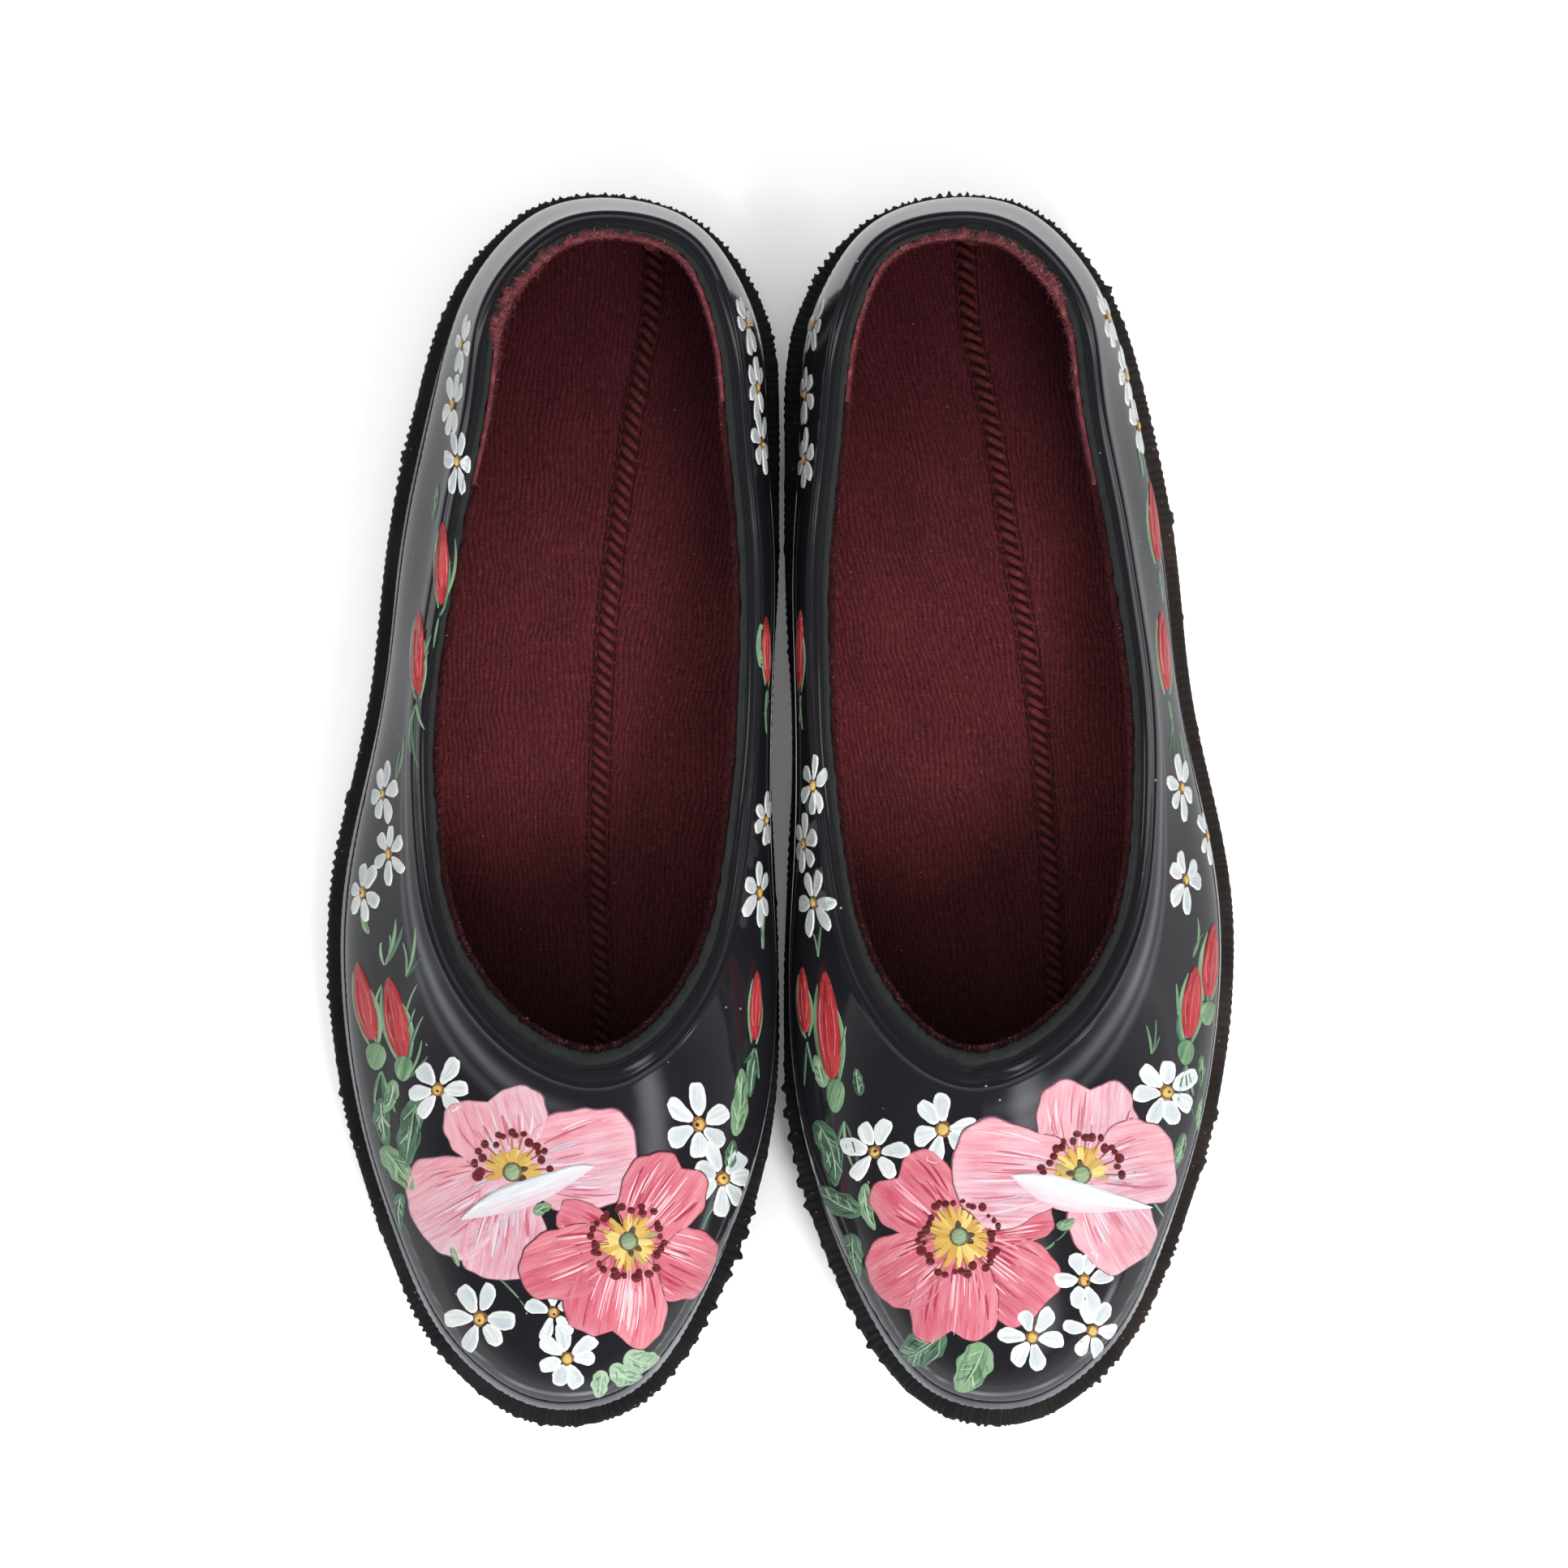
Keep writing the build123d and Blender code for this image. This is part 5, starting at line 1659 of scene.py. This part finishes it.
    def rose_petal(self, index, palette, base, tip, width, lobes, layer, painted_highlights):
        rng = self.rng
        outline = self.petal_outline(base, tip, width, lobes, 80, 0.66)
        reach = tip - base
        length = np.linalg.norm(reach)
        sideways = across_of(reach) / length * width
        self.hold((base + tip) / 2, 0.60 * max(length, width * .8))
        centre = base + reach * 0.5
        shadow = palette["shadow"]
        self.blob(centre + (outline - centre) * 1.022, (shadow, .7 * shadow), reach, thick=0.07,
                  rim=0.0, rings=3, centre=centre, layer=layer - .02)
        first = palette["body"][0] * rng.uniform(.92, 1.05)
        second = palette["body"][1] * rng.uniform(.94, 1.03)
        sign = palette["tint_sign"] * (1 if index % 2 else -1)
        self.blob(outline, (first, second), reach, thick=0.10, rim=0.10, rings=12,
                  centre=centre, edge=palette["edge"], layer=layer,
                  tint=(palette["tint"], sign, palette["amount"]))

        def fanned(spread, start, end, narrow, count=12):
            """Line out of the throat, as narrow as given where it starts."""
            run = np.linspace(start, end, count)[:, None]
            return (base + reach * run
                    + sideways * spread * (narrow + (1 - narrow) * np.sin(run * np.pi * .62)))
        if palette["throat"]:
            # grey white dragged over the throat of the petal
            for _ in range(9):
                spread, start = rng.uniform(-.26, .26), rng.uniform(.05, .25)
                line = fanned(spread, start, start + rng.uniform(.2, .42), .4, 10)
                widths = arch(.06, .97, 10) * rng.uniform(.5, 1.2)
                first = rgb(206, 200, 212) if rng.uniform() < .55 else rgb(172, 160, 180)
                self.stroke(line, widths, 0.04, (first, rgb(216, 186, 196)), layer + 0.10)
        # bristle marks fanning out of the throat, dark and pale
        for _ in range(16):
            spread, start = rng.uniform(-0.40, 0.40), rng.uniform(.10, .45)
            line = fanned(spread, start, min(.93, start + rng.uniform(.22, .5)), .35)
            kind = rng.uniform()
            pair = next(pair for limit, pair in palette["bristles"] if kind < limit)
            self.stroke(line, arch(.06, .97, 12) * rng.uniform(.45, 1.15), 0.045, pair,
                        layer + 0.11)
        # painted highlights: pale strokes where the ridged paint catches the light
        for _ in range(painted_highlights):
            spread, start = rng.normal(0.06, 0.16), rng.uniform(.10, .40)
            line = fanned(spread, start, min(.92, start + rng.uniform(.30, .60)), .45)
            widths = arch(.06, .97, 12) * rng.uniform(.30, .80)
            first = rgb(250, 232, 236) if rng.uniform() < .6 else rgb(244, 196, 204)
            self.stroke(line, widths, 0.05, (first, rgb(236, 170, 182)), layer + 0.13)
        self.limit = None

    def rose(self, palette, layer, centre, petals, yellow_radius, dots, fan=None):
        """Petal rows: left, top, right, bottom of its box, lobes, lift, number of painted highlight
        strokes.
        Dots: from and to (degrees), radius, count. Fan: degrees kept of the yellow middle."""
        rng = self.rng
        self.lay = self.from_camera
        centre = np.asarray(centre, float)
        for index, (left, top, right, bottom, lobes, lift, painted_highlights) in enumerate(petals):
            # the petal reaches from the throat out to fill its box
            middle = np.array([(left + right) / 2, (top + bottom) / 2])
            half = np.array([(right - left) / 2, (top - bottom) / 2])
            axis = middle - centre
            axis /= np.linalg.norm(axis)
            extent = 1 / np.linalg.norm(axis / half)
            width = 2 / np.linalg.norm(across_of(axis) / half) * 1.12
            self.rose_petal(index, palette, centre + axis * 1.5885,
                            middle + axis * extent * 1.03, width, lobes, layer + lift, painted_highlights)
        top = layer + .24
        for i in range(24):
            angle = i * 2 * np.pi / 24 + rng.normal(0, 0.08)
            wrapped = ((angle + math.pi / 2) % (2 * math.pi)) - math.pi / 2
            if fan and not math.radians(fan[0]) <= wrapped <= math.radians(fan[1]):
                continue
            axis = np.array([math.cos(angle), math.sin(angle)])
            radius = yellow_radius * rng.uniform(0.66, 1.0)
            outline = self.petal_outline(centre + axis * 0.4, centre + axis * radius,
                                         rng.uniform(1.3, 2.2), 1, 18, 0.6)
            pick = rng.uniform()
            pair = YELLOW
            if pick >= .55:
                pair = ((rgb(226, 208, 140), YELLOW[0]) if pick < .85
                        else (rgb(158, 150, 110), rgb(190, 160, 90)))
            self.blob(outline, pair, axis, thick=0.14, rim=0.05, rings=3,
                      layer=top - .02 * (i % 2))
        start, end, dot_radius, count = dots
        for i in range(count):
            angle = math.radians(start + (end - start) * (i + rng.uniform(-.35, .35))
                                 / (count - 1))
            spoke = np.array([math.cos(angle), math.sin(angle)])
            spoke = spoke * (dot_radius * rng.uniform(0.86, 1.12))
            size = rng.uniform(0.68, 1.12)
            stretch = [size * rng.uniform(.8, 1.15), size * rng.uniform(.8, 1.15)]
            self.blob(centre + spoke + circle(12) * stretch, DARKRED, thick=0.14, rim=0,
                      rings=3, dome=0.28, layer=top + .02)
            if i % 2 == 0:
                line = centre + spoke * np.linspace(.5, 1, 6)[:, None]
                self.stroke(line, np.full(6, .4), 0.1, (rgb(122, 50, 44), rgb(186, 130, 70)),
                            top + .12)
        ring = circle(20)
        for _ in range(3):
            angle = rng.uniform(0, 6.28)
            axis = np.array([math.cos(angle), math.sin(angle)])
            turned = ring * [1.5, .7] @ np.array([axis, across_of(axis)])
            self.blob(centre + turned + axis * 2.0, (rgb(60, 50, 38), rgb(100, 84, 54)),
                      thick=0.15, rim=0, rings=3, layer=top + .1)
        self.blob(centre + ring * 2.15, (rgb(72, 76, 52), rgb(120, 112, 70)), thick=0.2, rim=0,
                  rings=3, layer=top + .14, radial=True)
        self.blob(centre + ring * [1.6, 1.75], (rgb(118, 142, 108), rgb(164, 182, 146)),
                  (1, 0.3), thick=0.22, rim=0, rings=4, dome=0.5, layer=top + .18)


# ---------------------------------------------------------------- where everything is painted
# In painting order, plan millimetres of the pair: Brush method, then its arguments.
#   leaf: base, tip, width, greens, layer     blades: width, root, tips
#   daisy: centre, radius, squeeze, petals    bud: tip, base, width, calyx
PAINTING = {"right": [
    # toe
    ("leaf", (-34.4175, -117.196), (-24.8865, -121.785), 7.766, PALEGREEN),
    ("leaf", (-37.2415, -119.314), (-28.7695, -126.374), 6.001, PALEGREEN),
    ("leaf", (-39.0065, -121.432), (-39.7125, -127.786), 4.589, PALEGREEN),
    ("leaf", (-79.2485, -62.128), (-81.7195, -77.66), 6.354, DEEPGREEN),
    ("leaf", (-86.6615, -72.718), (-79.9545, -82.249), 5.648, GREEN),
    ("leaf", (-81.7195, -82.602), (-83.8375, -91.427), 4.236, DEEPGREEN),
    ("leaf", (-87.0145, -62.128), (-85.6025, -72.718), 4.236, DEEPGREEN),
    ("leaf", (-84.1905, -58.245), (-86.3085, -65.658), 3.53, GREEN),
    ("leaf", (-71.8355, -94.604), (-70.0705, -98.84), 1.765, GREEN),
    ("blades", 0.706, (-57.0095, -105.9), (-61.9515, -100.958), (-53.4795, -108.724)),
    ("leaf", (-10.0605, -70.6), (-8.6485, -55.774), 4.236, GREEN),
    ("leaf", (-11.4725, -77.66), (-10.4135, -71.306), 3.177, DEEPGREEN),
    ("blades", 1.2355, (-11.8255, -82.955), (-14.6495, -87.897), (-17.8265, -91.78)),
    ("blades", 1.059, (-81.7195, -58.245), (-78.1895, -49.42), (-79.6015, -42.36),
     (-76.7775, -52.95)),
    ("rose", PINK, 0.0, (-58.4215, -78.1895), [
        (-80.3075, -74.3065, -60.5395, -95.663, 1, 0, 0),
        (-51.7145, -64.599, -31.9465, -86.132, 1, .1, 0),
        (-69.0115, -84.72, -52.4205, -101.4875, 1, 0, 0),
        (-72.5415, -60.716, -50.6555, -78.013, 2, .1, 0)],
     6.5305, (8, 188, 7.766, 18), (-15, 200)),
    ("fold", .46, [(-69.894, -88.7795), (-40.595, -77.1305)],
     [(-65.4815, -84.367), (-59.1275, -80.837), (-51.3615, -78.366), (-44.3015, -76.601)],
     [(-63.0105, -87.897), (-54.8915, -85.9555), (-48.1845, -82.602), (-43.5955, -79.425)]),
    ("leaf", (-53.8325, -87.191), (-49.9495, -85.426), 3.0005, GREEN, .30),
    ("rose", RED, .2, (-33.3585, -93.192), [
        (-51.0085, -85.426, -35.4765, -92.133, 1, 0, 0),
        (-56.3035, -90.8975, -38.6535, -105.547, 1, .1, 0),
        (-27.7105, -89.662, -15.3555, -106.959, 1, 0, 8),
        (-34.241, -74.3065, -17.4735, -91.78, 2, .1, 16),
        (-46.0665, -98.84, -25.5925, -115.6075, 2, .1, 26)],
     6.8835, (-170, 200, 7.5895, 30)),
    ("daisy", (-65.4815, -110.136), 8.4, .92), ("daisy", (-49.5965, -108.724), 6.4, .92, 5),
    ("daisy", (-46.596, -118.7845), 7.4, .92, 7), ("daisy", (-18.003, -67.9525), 8.4, .92),
    ("daisy", (-12.8845, -79.778), 8.0, .92, 7), ("daisy", (-74.6595, -60.363), 7.4, .92),
    # lateral wall
    ("daisy", (-86.485, 3.883), 6.7, .56), ("daisy", (-85.2495, -9.178), 6.3, .56),
    ("daisy", (-90.8975, -17.65), 6.8, .60), ("daisy", (-68.129, 101.664), 6.3, .36),
    ("daisy", (-69.894, 88.603), 7.0, .36), ("daisy", (-70.4235, 76.0715), 7.6, .38),
    ("blades", 1.059, (-86.3085, -33.535), (-83.8375, -22.945), (-85.2495, -26.475),
     (-82.249, -24.71), (-87.0145, -28.24)),
    ("blades", 1.059, (-81.7195, -36.1825), (-79.6015, -24.71), (-82.4255, -28.24),
     (-78.1895, -31.417)),
    ("bud", (-92.3095, -32.829), (-89.1325, -49.5965), 4.0595, (-88.603, -52.95, 1.9415, 2.824)),
    ("bud", (-85.426, -35.8295), (-82.249, -53.656), 4.942, (-82.0725, -55.774, 2.118, 2.6475)),
    ("blades", 1.059, (-87.7205, -51.538), (-86.6615, -37.065), (-91.2505, -42.36)),
    ("blades", 1.059, (-81.19, -54.009), (-78.8955, -37.065), (-77.8365, -44.125)),
    ("blades", 1.059, (-87.0145, -56.127), (-83.8375, -65.658), (-88.4265, -63.893),
     (-85.6025, -70.6)),
    ("bud", (-78.719, 43.772), (-79.072, 25.416), 2.824),
    ("bud", (-73.6005, 63.187), (-73.9535, 44.831), 2.824),
    ("blades", 1.059, (-79.425, 23.651), (-77.4835, 17.65), (-80.6605, 12.355),
     (-78.5425, 8.825)),
    ("blades", 1.059, (-78.1895, 26.475), (-75.895, 38.83), (-76.7775, 35.3)),
    ("blades", 0.8825, (-74.483, 42.36), (-75.7185, 35.3), (-73.2475, 45.537)),
    ("blades", 0.8825, (-73.2475, 45.89), (-71.1295, 60.01), (-71.8355, 54.715)),
    ("leaf", (-75.7185, 63.54), (-74.483, 71.306), 2.6475, DEEPGREEN),
    ("blades", 0.8825, (-84.1905, 7.06), (-81.7195, 16.7675), (-82.7785, 13.2375)),
    ("leaf", (-89.4855, -26.475), (-91.427, -21.18), 2.118, GREEN),
    # medial wall
    ("daisy", (-8.119, 106.253), 6.8, .36), ("daisy", (-6.1775, 92.486), 6.8, .36),
    ("daisy", (-4.942, 80.3075), 6.8, .36), ("daisy", (-4.942, -17.65), 7.0, .42),
    ("daisy", (-3.883, -1.765), 6.4, .38),
    ("bud", (-5.295, -34.594), (-6.001, -49.773), 2.471),
    ("bud", (-4.0595, 42.36), (-3.7065, 28.24), 1.9415),
    ("blades", 1.059, (-5.8245, -51.185), (-7.2365, -60.01), (-5.1185, -58.245),
     (-8.2955, -54.715)),
    ("leaf", (-5.8245, -52.95), (-6.8835, -62.128), 2.471, DEEPGREEN),
    ("blades", 0.8825, (-4.0595, -30.005), (-3.3535, -21.18), (-4.7655, -24.71)),
    ("blades", 0.8825, (-3.7065, 26.475), (-3.3535, 16.7675), (-4.7655, 21.18)),
], "left": [
    # toe
    ("leaf", (35.4765, -112.96), (24.8865, -119.314), 9.531, DEEPGREEN),
    ("leaf", (44.3015, -115.784), (38.3005, -126.374), 9.178, GREEN),
    ("leaf", (16.4145, -91.074), (15.3555, -102.37), 7.06, DEEPGREEN),
    ("leaf", (17.4735, -87.544), (7.2365, -81.543), 6.001, DEEPGREEN),
    ("leaf", (18.1795, -80.837), (20.2975, -91.074), 3.53, GREEN),
    ("leaf", (7.5895, -67.07), (11.8255, -81.543), 6.001, DEEPGREEN),
    ("leaf", (9.3545, -60.01), (7.2365, -52.95), 3.53, GREEN),
    ("leaf", (17.1205, -61.775), (16.0615, -55.774), 2.824, DEEPGREEN),
    ("blades", 1.059, (13.5905, -67.07), (15.7085, -77.66), (11.8255, -74.13),
     (17.1205, -81.19)),
    ("leaf", (85.2495, -76.954), (88.0735, -70.247), 4.236, GREEN),
    ("green_blades", 0.8825, (80.6605, -84.72), (84.1905, -82.602), (83.1315, -88.25),
     (78.8955, -81.543)),
    ("blades", 0.706, (59.4805, -93.545), (57.0095, -95.31), (62.6575, -90.015)),
    ("rose", RED, 0.0, (38.6535, -92.3095), [
        (44.3015, -86.485, 59.4805, -93.898, 1, 0, 0),
        (19.5915, -91.6035, 33.7115, -108.1945, 1, .1, 0),
        (42.8895, -93.898, 59.8335, -110.6655, 1, 0, 6),
        (20.827, -75.0125, 38.3005, -92.3095, 2, .1, 4),
        (28.4165, -100.7815, 46.243, -115.9605, 2, .1, 5)],
     7.5895, (-170, 190, 8.119, 32)),
    ("rose", PINK, .2, (65.1285, -78.8955), [
        (63.3635, -85.073, 82.602, -98.487, 1, 0, 0),
        (72.1885, -67.423, 85.426, -85.426, 1, .1, 0),
        (37.5945, -67.776, 58.7745, -89.309, 1, .1, 0),
        (55.9505, -58.4215, 76.954, -74.3065, 2, 0, 0)],
     6.8835, (0, 178, 8.119, 18), (-20, 195)),
    ("fold", .66, [(49.5965, -78.8955), (80.837, -86.132)],
     [(55.9505, -78.366), (62.6575, -79.425), (70.0705, -81.896), (76.4245, -84.367)],
     [(53.8325, -83.308), (59.4805, -86.485), (66.5405, -87.544), (74.6595, -86.838)]),
    ("leaf", (59.8335, -90.368), (63.7165, -88.603), 2.824, GREEN, .30),
    ("daisy", (20.2975, -73.9535), 7.8, .92), ("daisy", (35.1235, -69.0115), 8.0, .92),
    ("daisy", (83.8375, -61.069), 8.0, .92, 7), ("daisy", (65.8345, -102.017), 7.2, .92),
    ("daisy", (54.5385, -114.372), 7.4, .92), ("daisy", (67.5995, -112.96), 6.8, .92),
    # lateral wall
    ("daisy", (87.0145, 5.295), 6.8, .56), ("daisy", (87.897, -14.826), 7.1, .60),
    ("daisy", (92.486, -5.295), 6.2, .50), ("daisy", (70.953, 107.665), 7.0, .36),
    ("daisy", (74.836, 94.957), 7.0, .36), ("daisy", (77.4835, 84.014), 7.0, .36),
    ("bud", (90.1915, -33.535), (88.4265, -49.42), 4.0595, (87.897, -52.4205, 1.9415, 2.6475)),
    ("bud", (94.251, -24.357), (93.0155, -40.242), 3.3535, (93.192, -43.772, 1.5885, 2.471)),
    ("blades", 1.059, (87.3675, -51.185), (85.9555, -37.065), (91.6035, -40.595),
     (87.0145, -42.36)),
    ("blades", 0.8825, (92.839, -42.36), (91.9565, -30.005), (95.1335, -33.535)),
    ("blades", 1.059, (88.0735, -55.068), (89.8385, -62.128), (86.3085, -63.54),
     (91.2505, -68.835)),
    ("leaf", (90.8975, -52.95), (91.9565, -60.01), 3.177, DEEPGREEN),
    ("leaf", (90.5445, -62.128), (91.6035, -69.541), 3.53, GREEN),
    ("leaf", (87.3675, -69.894), (85.9555, -78.013), 3.53, DEEPGREEN),
    ("blades", 0.706, (80.484, -52.95), (79.2485, -46.243), (81.3665, -45.184),
     (82.4255, -48.714)),
    ("blades", 0.8825, (89.4855, -31.77), (90.5445, -22.945), (91.9565, -26.475)),
    ("bud", (82.602, 43.772), (83.8375, 26.475), 2.6475),
    ("bud", (80.484, 72.012), (81.896, 54.715), 2.6475),
    ("blades", 1.059, (84.5435, 24.357), (85.9555, 16.7675), (83.4845, 13.2375),
     (85.2495, 10.59)),
    ("blades", 0.8825, (83.1315, 26.475), (81.3665, 38.477), (85.2495, 35.3)),
    ("blades", 0.8825, (82.4255, 52.95), (83.4845, 45.537), (81.3665, 49.067)),
    ("leaf", (78.719, 72.718), (77.307, 79.072), 2.2945, DEEPGREEN),
    ("blades", 0.8825, (88.0735, 8.825), (86.3085, 17.65), (87.7205, 15.0025)),
    # medial wall
    ("daisy", (7.06, 105.9), 6.8, .36), ("daisy", (5.295, 90.721), 6.8, .36),
    ("daisy", (5.295, 76.601), 6.8, .36), ("daisy", (6.8835, 5.648), 7.0, .42),
    ("daisy", (6.001, -7.06), 6.8, .42), ("daisy", (7.2365, -19.768), 7.0, .44),
    ("bud", (9.3545, -34.594), (11.1195, -58.245), 4.942, (11.8255, -61.775, 2.118, 3.53)),
    ("bud", (4.4125, -33.888), (5.1185, -48.008), 2.6475),
    ("blades", 1.2355, (10.0605, -60.8925), (7.2365, -42.36), (13.9435, -46.243),
     (13.2375, -52.95)),
    ("blades", 1.059, (5.4715, -49.773), (3.7065, -38.83), (6.8835, -56.833),
     (4.7655, -60.01)),
    ("bud", (5.1185, 43.772), (4.7655, 27.181), 1.9415),
    ("blades", 0.8825, (4.4125, 25.416), (5.1185, 17.65), (3.7065, 19.415)),
    ("blades", 0.8825, (7.9425, -31.77), (8.6485, -24.71), (6.8835, -26.475)),
]}


def paint_shoe(name, side, tree):
    brush = Brush(side, tree)
    for kind, *details in PAINTING[name]:
        getattr(brush, kind)(*details)
    return brush.finish(name)


# ---------------------------------------------------------------- build both shoes
SKINS = {}
for name, side in SIDES:
    skin, upper = build_upper(name, side)
    SKINS[name] = surface_tree(skin)
    knit, lining_rings = build_lining(name, side, upper)
    fuzz = build_fuzz(name, side, upper)
    seam = build_seam(name, side, knit, lining_rings)
    rand = build_rand(name, side)
    tread = build_tread(name, side)
    paint = paint_shoe(name, side, SKINS[name])
    for piece in (skin, knit, fuzz, seam, rand, tread, paint):
        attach(piece, f"{name}_shoe")
    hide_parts(f"{name}_upper")
    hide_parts(f"{name}_sock_lining")
    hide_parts(f"{name}_lining_seam")
    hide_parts(f"{name}_outsole")


# ---------------------------------------------------------------- stage
def build_floor():
    work = bmesh.new()
    bmesh.ops.create_grid(work, x_segments=2, y_segments=2, size=6.0)
    mesh = bpy.data.meshes.new("stage_floor")
    work.to_mesh(mesh)
    work.free()
    made = bpy.data.objects.new("stage_floor", mesh)
    made.location = (0, 0, -0.0002)
    bpy.context.scene.collection.objects.link(made)
    mesh.materials.append(mat_floor())
    return made


def mat_floor():
    """White that glows more away from the shoes, has its own brightness in reflections,
    and is seen through from below."""
    mat = new_material("stage_white")
    white = mat.principled(Base_Color=(0.90, 0.90, 0.90), Roughness=1.0, Specular_IOR_Level=0.0)
    position = mat.node("NewGeometry").outputs["Position"]
    path = mat.node("LightPath")
    seen = path.outputs["Is Camera Ray"]

    def distance(vector, stops):
        length = mat.node("VectorMath", {0: vector}, operation="LENGTH").outputs["Value"]
        return mat.ramp(mat.mul(length, 0.5), stops)
    # painted light: the floor's camera-only glow is held back in a long ellipse between the shoes,
    # which stays darker with its real shade
    ellipse = mat.node("VectorMath", {0: position, 1: (1 / 0.024, 1 / 0.118, 0)},
                       operation="MULTIPLY")
    near = distance(ellipse.outputs[0], [(0.32, 0.16), (0.60, 1.0)])
    wide = distance(position, [(0.10, 0.0), (0.40, 0.6)])
    strength = mat.mul(mat.add(mat.mul(near, 0.42), wide), seen)
    glow = mat.node("Emission", {0: (1, 1, 1), 1: strength})
    lit = mat.node("AddShader", {0: white, 1: glow})
    y = mat.node("SeparateXYZ", {0: position}).outputs[1]
    bands = mat.ramp(mat.math("MULTIPLY_ADD", y, 1.0, 0.5),
                     [(0.30, 0.85), (0.42, 0.66), (0.58, 0.58), (0.66, 0.95)])
    mirrored = mat.node("Emission", {0: (0.97, 0.98, 1), 1: bands})
    top = mat.node("MixShader", {0: path.outputs["Is Glossy Ray"], 1: lit, 2: mirrored})
    clear = mat.node("BsdfTransparent")
    below = mat.node("NewGeometry").outputs["Backfacing"]
    return mat.surface(mat.node("MixShader", {0: mat.mul(below, seen), 1: top, 2: clear}))


def area(name, place, aim, size, power, size_y=None, glossy=True):
    light = bpy.data.lights.new(name, "AREA")
    light.energy = power
    light.size = size
    if size_y:
        light.shape = "RECTANGLE"
        light.size_y = size_y
    made = bpy.data.objects.new(name, light)
    made.location = place
    made.rotation_euler = (Vector(aim) - Vector(place)).to_track_quat("-Z", "Y").to_euler()
    made.visible_glossy = glossy
    bpy.context.scene.collection.objects.link(made)


def mat_glow(name, power):
    """Seen only in reflections, fading out from the middle."""
    mat = new_material(name)
    uv = mat.node("UVMap")
    radius = mat.node("VectorMath", {0: uv}, operation="LENGTH").outputs["Value"]
    fade = mat.ramp(radius, [(0.0, 1), (1.0, 0)], interpolation="EASE")
    light = mat.node("Emission", {0: (0.93, 0.96, 1), 1: mat.mul(fade, power)})
    clear = mat.node("BsdfTransparent")
    glossy = mat.node("LightPath").outputs["Is Glossy Ray"]
    return mat.surface(mat.node("MixShader", {0: glossy, 1: clear, 2: light}))


def glow(name, shoe, x, y, width, height, power):
    """A small softbox whose reflection falls on the skin under a plan point (mm)."""
    distance = 0.9
    tree = SKINS[shoe]
    target = np.array([x, y, PLAN_Z]) * MM
    view = Vector(target - CAMERA).normalized()
    hit, normal, _, _ = tree.ray_cast(Vector(CAMERA), view)
    if hit is None:
        hit, normal, _, _ = tree.find_nearest(Vector(target))
    if normal.dot(view) > 0:
        normal = -normal
    bounce = view - 2 * view.dot(normal) * normal
    corners = [(-1, -1), (1, -1), (1, 1), (-1, 1)]
    mesh = bpy.data.meshes.new(name)
    mesh.from_pydata([(across * width / 2, up * height / 2, 0) for across, up in corners], [],
                     [(0, 1, 2, 3)])
    layer = mesh.uv_layers.new(name="UVMap")
    layer.data.foreach_set("uv", np.ravel(corners).astype(np.float32))
    mesh.materials.append(mat_glow(name, power))
    made = bpy.data.objects.new(name, mesh)
    made.location = hit + bounce * distance
    made.rotation_euler = (-bounce).to_track_quat("-Z", "Y").to_euler()
    made.visible_camera = False
    made.visible_diffuse = False
    made.visible_shadow = False
    bpy.context.scene.collection.objects.link(made)
    return made


def build_world():
    """Even white for diffuse light, a dim gradient in reflections, bright white to the camera."""
    world = bpy.data.worlds.new("stage_world")
    bpy.context.scene.world = world
    sky = Shader(world, "ShaderNodeOutputWorld")
    diffuse = sky.node("Background", {0: (1, 1, 1), 1: 0.50})
    generated = sky.node("TexCoord").outputs["Generated"]
    up = sky.node("SeparateXYZ", {0: generated}).outputs[2]
    gradient = sky.ramp(up, [(0.0, (0.60, 0.60, 0.62)), (0.42, (0.012, 0.012, 0.013))])
    mirrored = sky.node("Background", {0: gradient, 1: 1.0})
    path = sky.node("LightPath")
    hidden = sky.node("MixShader", {0: path.outputs["Is Glossy Ray"], 1: diffuse, 2: mirrored})
    backdrop = sky.node("Background", {0: (1, 1, 1), 1: 1.05})
    sky.surface(sky.node("MixShader", {0: path.outputs["Is Camera Ray"], 1: hidden, 2: backdrop}))


def build_camera():
    """Straight above the pair, with +Y up in the view."""
    lens = bpy.data.cameras.new("camera")
    lens.sensor_width = 36
    lens.lens = 135.66
    lens.clip_start = 0.01
    lens.clip_end = 50
    made = bpy.data.objects.new("camera", lens)
    made.location = CAMERA
    back = (Vector(made.location) - Vector((0.00053, 0.0060, 0.015))).normalized()
    right = Vector((0, 1, 0)).cross(back).normalized()
    made.rotation_euler = Matrix((right, back.cross(right), back)).transposed().to_euler()
    bpy.context.scene.collection.objects.link(made)
    bpy.context.scene.camera = made


floor = build_floor()
area("fill_top", place=(0, 0.1, 1.7), aim=(0, 0, 0), size=1.5, power=8, glossy=False)
area("key", place=(0.46, -0.98, 1.08), aim=(0, 0.02, 0.02), size=0.42, power=17, glossy=False)
for name, sign in (("box_left", -1), ("box_right", 1)):
    area(name, place=(sign * 1.15, 0.1, 0.50), aim=(sign * 0.05, 0, 0.02), size=0.20, power=1.6,
         size_y=1.3)
# name, shoe, plan point (mm), width and height (m), power
GLOWS = [("glow_right_802", "right", -28.4165, -62.128, 0.30, 0.80, 3.4),
         ("glow_left_1304", "left", 60.1865, -122.491, 0.26, 0.16, 9.0),
         ("glow_right_842", "right", -21.3565, -117.196, 0.22, 0.20, 5.0),
         ("glow_left_1180", "left", 38.3005, -55.774, 0.70, 0.10, 2.0),
         ("glow_right_700", "right", -46.4195, -55.068, 0.70, 0.10, 1.6)]
glows = [glow(*row) for row in GLOWS]
build_world()
build_camera()
bpy.context.scene.view_settings.view_transform = "Standard"
bpy.context.scene.view_settings.look = "None"
